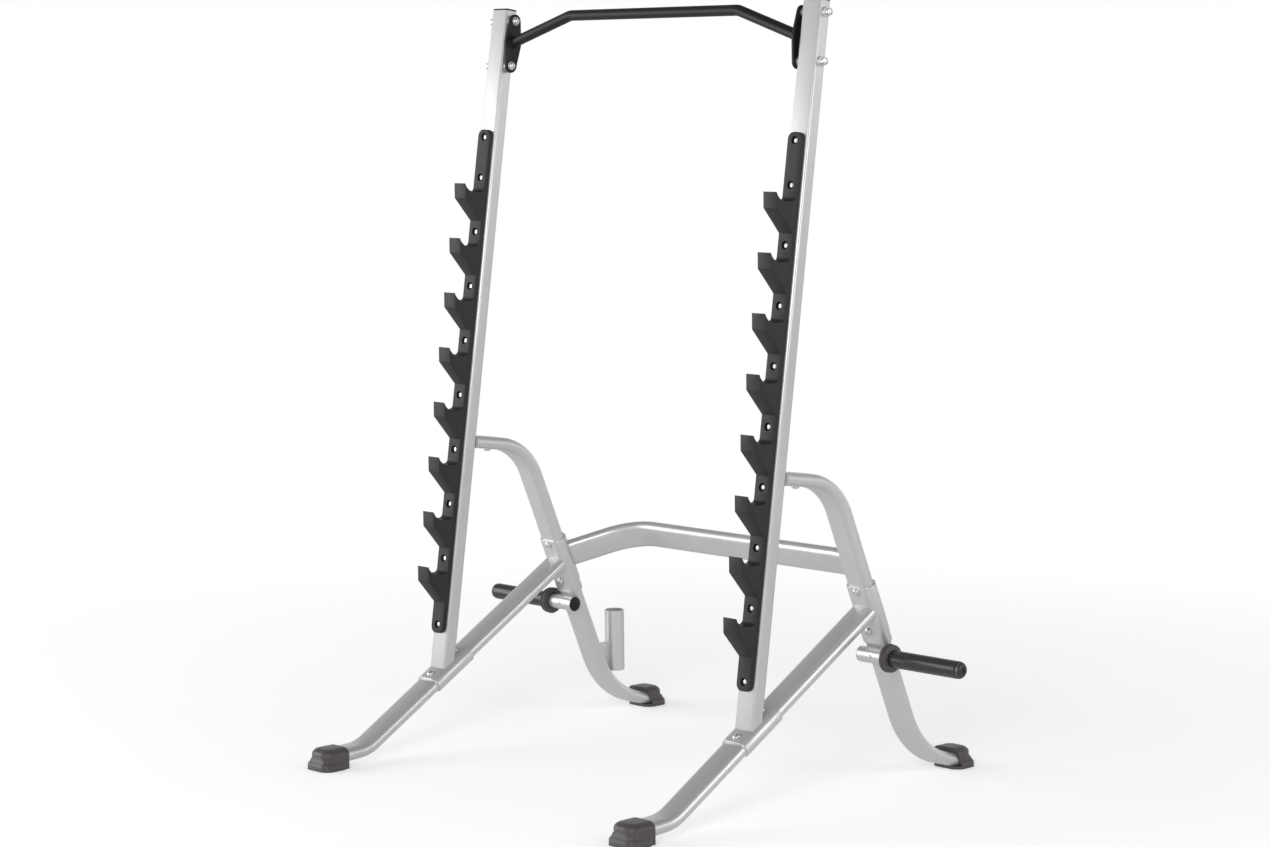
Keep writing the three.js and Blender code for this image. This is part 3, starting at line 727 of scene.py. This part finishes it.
def draw_hook(pen, tip):
    """Draws one hook downwards, from the seat's wall to the foot of the underside."""
    floor = tip - CRADLE_DEEP
    nose = rack_front(tip) - TIP_REACH
    wall = rack_front(floor + CRADLE_FILLET)
    lip_turn = math.acos((CRADLE_ARC - CRADLE_DEEP) / CRADLE_ARC)
    lip_start = nose + CRADLE_ARC * math.sin(lip_turn)
    pen.line(at(wall, floor + CRADLE_FILLET))
    pen.arc(at(wall - CRADLE_FILLET, floor + CRADLE_FILLET), -RIGHT, math.pi / 2, steps=6)
    pen.line(at(lip_start, floor))
    pen.arc(at(lip_start, floor + CRADLE_ARC), -RIGHT, lip_turn, steps=8)
    pen.line(at(nose, tip - NOSE_HIGH))
    pen.line(at(rack_front(tip - HOOK_HIGH), tip - HOOK_HIGH))


def hook_rack():
    bm = bmesh.new()
    through = post_front * RACK_THICK
    back_low = at(rack_front(RACK_BOTTOM), RACK_BOTTOM) - through
    back_top = at(rack_front(RACK_TOP), RACK_TOP) - through
    pen = Pen(bm, back_low)
    pen.line(back_top)
    pen.line(back_top + through)
    for i in range(HOOKS):
        draw_hook(pen, FIRST_TIP - i * PITCH)
    pen.line(back_low + through)
    face = pen.close()
    bmesh.ops.translate(bm, verts=bm.verts, vec=-RIGHT * RACK_WIDE / 2)
    thicken(bm, face, RIGHT * RACK_WIDE)

    corners = [back_low, back_low + through, back_top, back_top + through]

    def at_corner(vert):
        return any((at(vert.co.y, vert.co.z) - corner).length < NEAR for corner in corners)

    short_edges = [e for e in bm.edges if e.calc_length() < RACK_THICK + NEAR]
    end_edges = [e for e in short_edges if all(at_corner(vert) for vert in e.verts)]
    soften(bm, end_edges, RACK_END, segments=8)
    soften(bm, sharp_edges(bm), RACK_RIM, segments=3)
    return bm


# %% [markdown]
# Ten round wells are cut into the bar's front for its screws: one at each end and one above each
# hook. A dark patch of colour could stand for a well from far away, but not from the side. So plain
# cylinders square to the bar cut them, and each well holds a bright domed screw head.

# %% Wells and screws
WELL_RADIUS = 0.011
WELL_DEEP = 0.007
TOP_SCREW = 1.7376             # heights
LOW_SCREW = 0.3521
FIRST_SCREW = 1.6225
SCREW_HEIGHTS = [TOP_SCREW, LOW_SCREW] + [FIRST_SCREW - i * PITCH for i in range(HOOKS)]
HEAD_ARC = [math.radians(degrees) for degrees in (0, 20, 40, 58)]
HEAD_RIM = 0.35                # share of a head's height that is its upright rim
SOCKET_TAPER = 0.92


def well_mouth(height):
    return at(rack_front(height), height)


def well_cutter(height):
    bm = bmesh.new()
    disc(bm, WELL_RADIUS, -WELL_DEEP, WELL_DEEP)
    aim(bm, well_mouth(height), post_front)
    return bm


def domed_head(radius, high, socket, deep):
    """A screw or bolt head that stands on z = 0, with a round socket in its dome."""
    rim = high * HEAD_RIM
    return turn_profile([
        (0, 0),
        (radius, 0),
        *((radius * math.cos(angle), rim + (high - rim) * math.sin(angle)) for angle in HEAD_ARC),
        (socket, high),
        (socket * SOCKET_TAPER, high - deep),
        (0, high - deep),
    ], steps=32)


drilled = join_solids(hook_rack(), [well_cutter(height) for height in SCREW_HEIGHTS], "DIFFERENCE")
pair("hook_rack", drilled, hook_black, "hook_rack")
for number, height in enumerate(SCREW_HEIGHTS, 1):
    bm = domed_head(radius=0.0074, high=0.0028, socket=0.0022, deep=0.0010)
    aim(bm, well_mouth(height) - post_front * (WELL_DEEP - GAP), post_front)
    pair(f"rack_screw_{number}", bm, zinc)

# %% [markdown]
# ## Pull-up bar
# The bar is a round tube with two shallow bends, welded to an end plate at each upright. The plate is
# a long oval that bulges round the weld. A scaled cylinder would have the wrong ends, so its outline
# is four arcs joined by straight lines that touch them.

# %% Bar plates
PLATE_END = 0.020              # radius round each bolt
PLATE_BULGE = 0.030            # radius round the weld
PLATE_THICK = 0.008
PLATE_RIM = 0.0014
PLATE_FACE = POST_WIDE / 2 + BOSS_INNER + GAP + PLATE_THICK


def bar_plate():
    bm = bmesh.new()
    tilt = math.asin((PLATE_BULGE - PLATE_END) / PLATE_BOLTS)
    side = Vector((math.cos(tilt), math.sin(tilt), 0))
    top = Vector((0, PLATE_BOLTS, 0))
    middle = Vector((0, 0, 0))
    pen = Pen(bm, top + side * PLATE_END)
    pen.arc(top, UP, math.pi - 2 * tilt, steps=14)
    pen.line(Vector((-side.x, side.y, 0)) * PLATE_BULGE)
    pen.arc(middle, UP, 2 * tilt, steps=4)
    pen.line(-top - side * PLATE_END)
    pen.arc(-top, UP, math.pi - 2 * tilt, steps=14)
    pen.line(Vector((side.x, -side.y, 0)) * PLATE_BULGE)
    pen.arc(middle, UP, 2 * tilt, steps=4)
    thicken(bm, pen.close(), UP * PLATE_THICK)
    soften(bm, sharp_edges(bm), PLATE_RIM, segments=3)
    place_basis(bm, post_at(PLATE_MIDDLE) - RIGHT * PLATE_FACE, arm_dir, post_dir, RIGHT)
    return bm


pair("bar_plate", bar_plate(), black_coat, "bar_plate")

# %% [markdown]
# The bar is one ring swept from plate to plate. Its weld shows as a small bead, for which a little
# ring is spun round the bar's end. Texture alone would leave a hard line where the two meet.

# %% Pull-up bar and welds
BAR_RADIUS = 0.015
BAR_HIGH = 2.077               # height of the level middle stretch
BAR_HALF = 0.331               # from the rack's middle to each bend
BAR_DROP = 2.0044              # height of the ends
BAR_BEND = 0.060
WELD_BEAD = 0.0035
WELD_OUT = 0.001               # the bead's middle, outside the bar's surface

plate_x = SIDE - PLATE_FACE
bar_end = post_at(BAR_DROP) + RIGHT * plate_x
bar_bend = post_at(BAR_HIGH) + RIGHT * BAR_HALF
flip = Vector((-1, 1, 1))
bar_path = [(bar_end * flip, 0), (bar_bend * flip, BAR_BEND), (bar_bend, BAR_BEND), (bar_end, 0)]
bar = sweep(round_ring(BAR_RADIUS), post_front, bar_path, steps=10)
single("pull_up_bar_tube", bar, black_coat, "pull_up_bar")

bm = round_ring(WELD_BEAD, segments=12)
bmesh.ops.translate(bm, verts=bm.verts, vec=at(BAR_RADIUS + WELD_OUT, 0))
spin_round(bm, RIGHT, steps=48)
bmesh.ops.translate(bm, verts=bm.verts, vec=post_at(BAR_DROP) - RIGHT * PLATE_FACE)
pair("bar_weld", bm, black_coat)
print("pull-up bar", round(2 * plate_x, 4), "m between its plates")

# %% [markdown]
# ## Cross tube
# The cross tube is the same flat-oval tube, bowed backwards so that the lifter can step through. It
# could be bent in a level plane and turned afterwards. Its corners are worked out in the plane that
# it really lies in instead, square to the rear legs but for a small tilt, so it ends on the flat
# plates behind the rear sleeves.

# %% Cross tube and its plates
BOW_DEPTH = 0.174
BOW_RADIUS = 0.212
BOW_STRAIGHT = 0.360           # half of the straight middle
BOW_RAISE = 0.007
BOW_TURN = math.radians(45)
BOW_TILT = math.radians(3.2)
CROSS_THICK = 0.005
CROSS_WIDE = 0.056
CROSS_LONG = 0.146
CROSS_RIM = 0.0014

tilted = Matrix.Rotation(BOW_TILT, 3, "X")
bow_back = tilted @ leg_back
bow_up = tilted @ leg_dir
corner_x = BOW_STRAIGHT + BOW_RADIUS * math.tan(BOW_TURN / 2)
seat = HALF_THICK + SLEEVE + GAP + CROSS_THICK
reach = (BOW_DEPTH - seat) / math.sin(BOW_TURN)
bow_middle = rear_joint + leg_dir * BOW_RAISE
bow_corner = bow_middle + bow_back * BOW_DEPTH + RIGHT * corner_x
bow_end = bow_corner + RIGHT * reach * math.cos(BOW_TURN) - bow_back * reach * math.sin(BOW_TURN)
bow_path = [(bow_end * flip, 0), (bow_corner * flip, BOW_RADIUS), (bow_corner, BOW_RADIUS), (bow_end, 0)]
bow = sweep(oval_ring(OVAL_WIDE, OVAL_THICK), bow_up, bow_path, steps=16)
single("cross_tube_bowed", bow, silver, "cross_tube")

bm = bmesh.new()
bmesh.ops.create_cube(bm, size=1)
bmesh.ops.scale(bm, verts=bm.verts, vec=(CROSS_WIDE, CROSS_THICK, CROSS_LONG))
soften(bm, bm.edges[:], CROSS_RIM, segments=3)
place_basis(bm, rear_joint + leg_back * (seat - CROSS_THICK / 2), RIGHT, leg_back, leg_dir)
pair("cross_plate", bm, silver, "cross_plate")

# %% [markdown]
# ## Bolts
# Every bolt shows a low domed head with a washer on one side and a hexagon nut with a washer on the
# other. The thread could be modelled too, but nobody sees it, because the shank between them is
# hidden in the tubes. So head, washers, nut and a plain shank are joined in one piece.

# %% Bolts
HEAD = 0.0105                  # radii
NUT = 0.0105
WASHER = 0.0120
SHANK = 0.0060
HEAD_HIGH = 0.0066
NUT_HIGH = 0.0096
WASHER_THICK = 0.0014
SOCKET = 0.0035
SOCKET_DEEP = 0.0025
SHANK_SHOWN = 0.0018           # how far the shank stands out of the nut
SHANK_HIDDEN = 0.001           # how far it runs into the head
WASHER_RIM = 0.0004
NUT_RIM = 0.0008
LOW_BOLTS = (-0.034, 0.074)    # places along the tube, from the joint
LEG_BOLTS = (-0.061, 0.061)


def bolt(head_face, nut_face):
    """A bolt whose washers lie on two faces, each given as a point on the bolt's axis."""
    out = head_face - nut_face
    grip = out.length
    nut_top = -WASHER_THICK - NUT_HIGH
    bm = domed_head(HEAD, HEAD_HIGH, SOCKET, SOCKET_DEEP)
    bmesh.ops.translate(bm, verts=bm.verts, vec=UP * (grip + WASHER_THICK))
    disc(bm, WASHER, grip, grip + WASHER_THICK, WASHER_RIM)
    disc(bm, WASHER, -WASHER_THICK, 0, WASHER_RIM)
    disc(bm, NUT, nut_top, -WASHER_THICK, NUT_RIM, segments=6)
    disc(bm, SHANK, nut_top - SHANK_SHOWN, grip + WASHER_THICK + SHANK_HIDDEN, WASHER_RIM)
    aim(bm, nut_face, out.normalized())
    return bm


def bolts(name, middles, to_head, to_nut):
    """Numbered bolts, each reaching from its middle to the two washers' faces."""
    for number, middle in enumerate(middles, 1):
        node = f"{name}_{number}"
        pair(node, bolt(middle + to_head, middle + to_nut), zinc, node)


cover = HALF_THICK + SLEEVE
low_middles = [front_joint + low_dir * along for along in LOW_BOLTS]
leg_middles = [rear_joint + leg_dir * along for along in LEG_BOLTS]
bolts("low_bolt", low_middles, low_up * cover, -low_up * cover)
bolts("leg_bolt", leg_middles, -leg_back * cover, leg_back * seat)
bolts("bar_bolt", bar_bolt_middles, -RIGHT * PLATE_FACE, RIGHT * (POST_WIDE / 2 + BOSS_OUTER))

# %% [markdown]
# The rear leg's arm slides over a stub on the upright, and one bolt from below holds it there. Only
# its head shows, under the arm, so only the head is made.

# %% Arm bolt
ARM_BOLT = 0.090               # along the arm, from the upright's middle line
bm = domed_head(HEAD, HEAD_HIGH, SOCKET, SOCKET_DEEP)
aim(bm, arm_start + arm_dir * ARM_BOLT - post_dir * HALF_THICK, -post_dir)
pair("arm_bolt", bm, zinc, "arm_bolt")

# %% [markdown]
# ## Plate pegs
# A peg is a steel tube across the front of the rear leg. Its outer half carries a ribbed rubber
# collar and a black sleeve with a rounded end, and a black plug closes its inner end. Cylinders with
# bevelled ends could stand for them, but the collar's groove and the hollow in the end need a drawn
# profile. So all are turned shapes, spun round the peg's axis.

# %% Peg tube, plug and collar
PEG_Y = 0.2849
PEG_Z = 0.3526
PEG_TUBE = 0.0212              # radii
PEG_SLEEVE = 0.0235
PEG_COLLAR = 0.0385
PEG_INNER = -0.041             # places along the peg, from the side frame's middle plane
COLLAR_IN = 0.053
COLLAR_OUT = 0.073
PEG_END = 0.316
PEG_CAP = 0.006
PLUG = [(0, 0.0042), (0.0120, 0.0040), (0.0195, 0.0028), (PEG_TUBE, 0.0010)]   # (radius, stands out)
COLLAR = [   # (how far inside the collar's radius, how far along it)
    (0.003, 0), (0.001, 0.001), (0, 0.003), (0, 0.007), (0.001, 0.009), (0.0035, 0.0105),
    (0.0035, 0.0125), (0.0015, 0.014), (0.0008, 0.016), (0.002, 0.019), (0.0045, 0.020),
]


def along_peg(profile):
    """Turns a profile of (radius, x) points round the peg's axis."""
    bm = turn_profile(profile, steps=48)
    place_basis(bm, at(PEG_Y, PEG_Z), at(1, 0), at(0, 1), RIGHT)
    return bm


def rod(radius, start, end):
    return [(0, start), (radius, start), (radius, end), (0, end)]


shoulder = PEG_END - PEG_CAP
plug = [
    *((radius, PEG_INNER - out) for radius, out in PLUG),
    (PEG_TUBE, PEG_INNER - GAP),
    (0, PEG_INNER - GAP),
]
collar = [
    (0, COLLAR_IN),
    *((PEG_COLLAR - inside, COLLAR_IN + along) for inside, along in COLLAR),
    (0, COLLAR_OUT),
]
pair("peg_tube", along_peg(rod(PEG_TUBE, PEG_INNER, shoulder)), silver, "peg_tube")
pair("peg_plug", along_peg(plug), black_coat, "peg_plug")
pair("peg_collar", along_peg(collar), rubber, "peg_collar")

# %% [markdown]
# The sleeve ends in a cap with a quarter of an ellipse for its edge and a small hollow in its middle.
# A bevel can only make a quarter circle, so the ellipse is worked out in the profile.

# %% Peg sleeve and end
CAP_SEAT = 0.010               # how far the cap reaches back from the tube's end
END_IN = 0.0115                # the ellipse, across the peg and along it
END_LONG = 0.0160
QUARTER = [math.radians(degrees) for degrees in range(0, 91, 10)]
HOLLOW = 0.0065
HOLLOW_DEEP = 0.0035
HOLLOW_EDGE = 0.0010
HOLLOW_DIP = 0.0003

cap_start = shoulder - CAP_SEAT
round_end = [
    (PEG_SLEEVE - END_IN * (1 - math.cos(angle)), PEG_END - END_LONG + END_LONG * math.sin(angle))
    for angle in QUARTER
]
end_cap = [
    (0, cap_start),
    *round_end,
    (HOLLOW + HOLLOW_EDGE, PEG_END - HOLLOW_DIP),
    (HOLLOW, PEG_END - HOLLOW_DEEP),
    (0, PEG_END - HOLLOW_DEEP),
]
pair("peg_sleeve", along_peg(rod(PEG_SLEEVE, COLLAR_IN, cap_start)), peg_black, "peg_sleeve")
pair("peg_end", along_peg(end_cap), peg_black, "peg_end")

# %% [markdown]
# A small round-headed screw holds the peg's sleeve from the front of the tube. It is the racks' screw
# head in other sizes, so the same function makes it.

# %% Peg screw
PEG_SCREW_X = 0.006
bm = domed_head(radius=0.0058, high=0.0034, socket=0.0020, deep=0.0014)
aim(bm, at(PEG_Y - PEG_TUBE, PEG_Z) + RIGHT * PEG_SCREW_X, at(-1, 0))
pair("peg_screw", bm, zinc, "peg_screw")

# %% [markdown]
# ## Bar holder
# Behind the left rear leg stands a short open tube for a spare bar. A closed cylinder with a dark top
# would look flat from above, so the tube is turned with its real wall and floor, and its mouth shows
# its thickness.

# %% Bar holder
HOLDER_Y = 0.4823
HOLDER_LOW = 0.1248            # heights of its ends
HOLDER_TOP = 0.3068
HOLDER_RADIUS = 0.029
HOLDER_WALL = 0.003
HOLDER_FLOOR = 0.005
HOLDER_RIM = 0.001
MOUTH_RIM = 0.0006

bore = HOLDER_RADIUS - HOLDER_WALL
bm = turn_profile([
    (0, HOLDER_LOW),
    (HOLDER_RADIUS - HOLDER_RIM, HOLDER_LOW),
    (HOLDER_RADIUS, HOLDER_LOW + HOLDER_RIM),
    (HOLDER_RADIUS, HOLDER_TOP - HOLDER_RIM),
    (HOLDER_RADIUS - HOLDER_RIM, HOLDER_TOP),
    (bore + MOUTH_RIM, HOLDER_TOP),
    (bore, HOLDER_TOP - MOUTH_RIM),
    (bore, HOLDER_LOW + HOLDER_FLOOR),
    (0, HOLDER_LOW + HOLDER_FLOOR),
], steps=48)
bmesh.ops.translate(bm, verts=bm.verts, vec=at(HOLDER_Y, 0) - RIGHT * SIDE)
single("bar_holder_tube", bm, silver, "bar_holder")

# %% [markdown]
# A bracket plate joins the holder to the slanting leg. Its front edge follows the leg's middle line,
# and its back edge reaches into the tube's wall. Both are hidden, so four corners are enough.

# %% Holder bracket
BRACKET_LOW = 0.006            # heights above the holder's lower end
BRACKET_HIGH = 0.088
BRACKET_THICK = 0.012
BRACKET_RIM = 0.0010

low = HOLDER_LOW + BRACKET_LOW
high = HOLDER_LOW + BRACKET_HIGH
bm = bmesh.new()
pen = Pen(bm, leg_line.at_z(low))
pen.line(leg_line.at_z(high))
pen.line(at(HOLDER_Y - bore, high))
pen.line(at(HOLDER_Y - bore, low))
thicken(bm, pen.close(), RIGHT * BRACKET_THICK)
soften(bm, sharp_edges(bm), BRACKET_RIM)
bmesh.ops.translate(bm, verts=bm.verts, vec=-RIGHT * (SIDE + BRACKET_THICK / 2))
single("holder_bracket_plate", bm, silver, "holder_bracket")

# %% [markdown]
# ## Feet
# A moulded rubber shoe closes each tube: a hood with a rounded shoulder, on a lip that flares out to
# the floor. A bevelled block would have the same edge all round, and no flare. Here both grow from a
# flat plan by a series of insets, each of which steps in and up, and so follow the moulded profile.

# %% Lip and hood
LIP_HALF = 0.052
LIP_LONG = 0.086
LIP_CORNER = 0.029
LIP_STEPS = [   # (in, up), from the floor
    (0.001, 0.0008), (0.0001, 0.012), (0.001, 0.003), (0.0024, 0.003), (0.003, 0.0036),
    (0.0022, 0.0036), (0.001, 0.003),
]
FOOT_HIGH = 0.058
HOOD_HALF = 0.046
HOOD_LONG = 0.140
HOOD_CORNER = 0.035
HOOD_DRAFT = 0.0003            # how far the hood's walls lean in
SHOULDER_WIDE = 0.024
SHOULDER_HIGH = 0.017


def plan(bm, nose, half, long, corner):
    """A rounded rectangle on the floor, from the nose inwards. A copy stays as the sole."""
    bmesh.ops.create_grid(bm, x_segments=1, y_segments=1, size=0.5)
    bmesh.ops.scale(bm, verts=bm.verts, vec=(2 * half, long, 1))
    bmesh.ops.translate(bm, verts=bm.verts, vec=at(nose - math.copysign(long / 2, nose), 0))
    bmesh.ops.bevel(bm, geom=bm.verts[:], offset=corner, offset_type="OFFSET", affect="VERTICES",
                    segments=12, profile=0.5, material=-1)
    face = bm.faces[:][0]
    sole = bmesh.ops.duplicate(bm, geom=[face])["geom"]
    bmesh.ops.reverse_faces(bm, faces=[g for g in sole if isinstance(g, bmesh.types.BMFace)])
    return face


def grow(bm, face, step_in, step_up):
    bmesh.ops.inset_region(bm, faces=[face], thickness=step_in, depth=step_up, use_boundary=True,
                           use_even_offset=True)


def lip(nose):
    bm = bmesh.new()
    face = plan(bm, nose, LIP_HALF, LIP_LONG, LIP_CORNER)
    for step_in, step_up in LIP_STEPS:
        grow(bm, face, step_in, step_up)
    return bm


def hood(nose):
    bm = bmesh.new()
    face = plan(bm, nose, HOOD_HALF, HOOD_LONG, HOOD_CORNER)
    grow(bm, face, HOOD_DRAFT, FOOT_HIGH - SHOULDER_HIGH)
    for before, after in zip(QUARTER, QUARTER[1:]):
        step_in = SHOULDER_WIDE * (math.cos(before) - math.cos(after))
        step_up = SHOULDER_HIGH * (math.sin(after) - math.sin(before))
        grow(bm, face, step_in, step_up)
    return bm


# %% [markdown]
# The hood is cut off at its mouth, where the tube comes in, and the lip only above the sole, which
# runs on a little under the tube. The opening could be drawn as an oval, but the tube bends inside
# the shoe, so the tube's own shape, slightly grown, is cut out of it.

# %% Feet
SOLE_THICK = 0.008
ABOVE_FOOT = 0.08              # heights between which the mouth is cut
BELOW_FLOOR = -0.01
CUTTER = 0.3                   # width and length of the cutter


def mouth_cutter(mouth_top, mouth_floor, low):
    """The room on the tube's side of the mouth, from a height up."""
    slant = (mouth_top - mouth_floor) / FOOT_HIGH
    behind = mouth_floor - math.copysign(CUTTER, mouth_floor)
    bm = bmesh.new()
    pen = Pen(bm, at(mouth_floor + slant * low, low))
    pen.line(at(mouth_floor + slant * ABOVE_FOOT, ABOVE_FOOT))
    pen.line(at(behind, ABOVE_FOOT))
    pen.line(at(behind, low))
    thicken(bm, pen.close(), RIGHT * CUTTER)
    bmesh.ops.translate(bm, verts=bm.verts, vec=-RIGHT * CUTTER / 2)
    return bm


def foot(hood_nose, lip_nose, mouth_top, mouth_floor, path):
    """A shoe on the end of a path. Its four numbers are places in y."""
    cutters = [mouth_cutter(mouth_top, mouth_floor, low) for low in (BELOW_FLOOR, SOLE_THICK)]
    shoe = join_solids(hood(hood_nose), cutters[:1], "DIFFERENCE")
    rim = join_solids(lip(lip_nose), cutters[1:], "DIFFERENCE")
    whole = join_solids(shoe, [rim], "UNION")
    socket = sweep(oval_ring(OVAL_WIDE + 2 * GAP, OVAL_THICK + 2 * GAP), RIGHT, path)
    return join_solids(whole, [socket], "DIFFERENCE")


front_foot = foot(hood_nose=-0.6485, lip_nose=-0.6575, mouth_top=-0.571, mouth_floor=-0.571, path=low_path)
heel_path = [(rear_joint, 0), *leg_path[2:]]
rear_foot = foot(hood_nose=0.6460, lip_nose=0.6575, mouth_top=0.578, mouth_floor=0.595, path=heel_path)
pair("front_foot", front_foot, rubber, "front_foot")
pair("rear_foot", rear_foot, rubber, "rear_foot")

# %% [markdown]
# ## Floor and light
# The photograph has a plain white ground. A purely white floor would lose the rack's shadow. So the
# floor is pale and shows that soft shadow near the feet, and further out it turns evenly white for
# the camera alone, so it meets the background without a line.

# %% Floor
WHITE = (1, 1, 1, 1)
BLACK = (0, 0, 0, 1)
FLOOR_RADIUS = 30
FLOOR_DROP = 0.0005            # keeps the floor clear of the soles
FADE_RATE = 0.45               # of the fade to white, for each metre outwards
FADE_DELAY = 0.6


def white_floor():
    finish = Finish("studio_floor", None)
    finish.wear(Base_Color=(0.84, 0.84, 0.84, 1), Roughness=0.7)
    surface = Wire(finish, finish.shader.outputs[0])
    place = finish.node("ShaderNodeTexCoord", {}, {}, "Object")
    far = finish.node("ShaderNodeVectorMath", {"operation": "LENGTH"}, {0: place}, "Value")
    stops = [(0.0, BLACK), (1.0, WHITE)]
    fade = finish.node("ShaderNodeValToRGB", {"stops": stops}, {"Fac": FADE_RATE * far - FADE_DELAY})
    seen = finish.node("ShaderNodeLightPath", {}, {}, "Is Camera Ray")
    glow = finish.node("ShaderNodeEmission", {}, {"Color": WHITE, "Strength": 1.0})
    tint = finish.node("ShaderNodeEmission", {}, {"Color": WHITE, "Strength": 0.12 + 0.28 * seen})
    lit = finish.node("ShaderNodeAddShader", {}, {0: surface, 1: tint})
    mixed = finish.node("ShaderNodeMixShader", {}, {0: fade * seen, 1: lit, 2: glow})
    finish.plug(finish.output.inputs["Surface"], mixed)
    return finish


bm = bmesh.new()
bmesh.ops.create_circle(bm, cap_ends=True, radius=FLOOR_RADIUS, segments=64)
floor_mesh = bpy.data.meshes.new("floor")
bm.to_mesh(floor_mesh)
bm.free()
floor_mesh.materials.append(white_floor().material)
floor = bpy.data.objects.new("floor", floor_mesh)
floor.location.z = -FLOOR_DROP
bpy.context.scene.collection.objects.link(floor)
print("floor", 2 * FLOOR_RADIUS, "m across")

# %% [markdown]
# The metal shows what stands round it, and an evenly white room would make it flat. A studio is light
# at eye level and darker overhead, so faces that look up turn a deeper grey. The camera itself sees
# a plain white background.

# %% Background
LIGHT_UP_TO = 0.05             # how steeply a ray climbs where the room starts to darken
DARK_FROM = 0.75
OVERHEAD = 0.27                # strength of the light from above

world = bpy.data.worlds.new("studio")
bpy.context.scene.world = world
world.use_nodes = True
sky = Web(world.node_tree)
toward = sky.node("ShaderNodeTexCoord", {}, {}, "Generated")
climb = sky.node("ShaderNodeSeparateXYZ", {}, {0: toward}, "Z")
span = {"From Min": LIGHT_UP_TO, "From Max": DARK_FROM, "To Min": 1.0, "To Max": OVERHEAD}
dimmer = sky.node("ShaderNodeMapRange", {"interpolation_type": "SMOOTHSTEP"}, {"Value": climb, **span})
seen = sky.node("ShaderNodeLightPath", {}, {}, "Is Camera Ray")
background = sky.tree.nodes["Background"]
sky.plug(background.inputs["Strength"], seen + (1 - seen) * dimmer)
sky.plug(background.inputs["Color"], WHITE)
print("world", len(sky.tree.nodes), "nodes")

# %% [markdown]
# Small lamps would give hard shadows and points of light. Three large ones give the long soft
# highlights that the tubes show: one beside the camera draws the white line along each rounded
# corner, one far to the left lights the black pieces' edges, and one stands behind on the right.

# %% Lamps
LAMP_AIM = Vector((0, 0, 0.9))
LAMPS = {   # place, size in metres and power in watts
    "beside_camera": ((3.4, -5.6, 3.2), 2.4, 130),
    "front_left": ((-4.8, -3.9, 1.9), 3.8, 160),
    "right": ((5.2, 1.6, 2.4), 2.6, 50),
}
for name, (place, size, power) in LAMPS.items():
    lamp = bpy.data.lights.new(name, "AREA")
    lamp.size = size
    lamp.energy = power
    stand = bpy.data.objects.new(name, lamp)
    turn = (LAMP_AIM - Vector(place)).to_track_quat("-Z", "Y").to_matrix().to_4x4()
    stand.matrix_world = Matrix.Translation(place) @ turn
    bpy.context.scene.collection.objects.link(stand)
bpy.context.scene.view_settings.view_transform = "Standard"   # greys stay as they are
print("lamps", list(LAMPS))
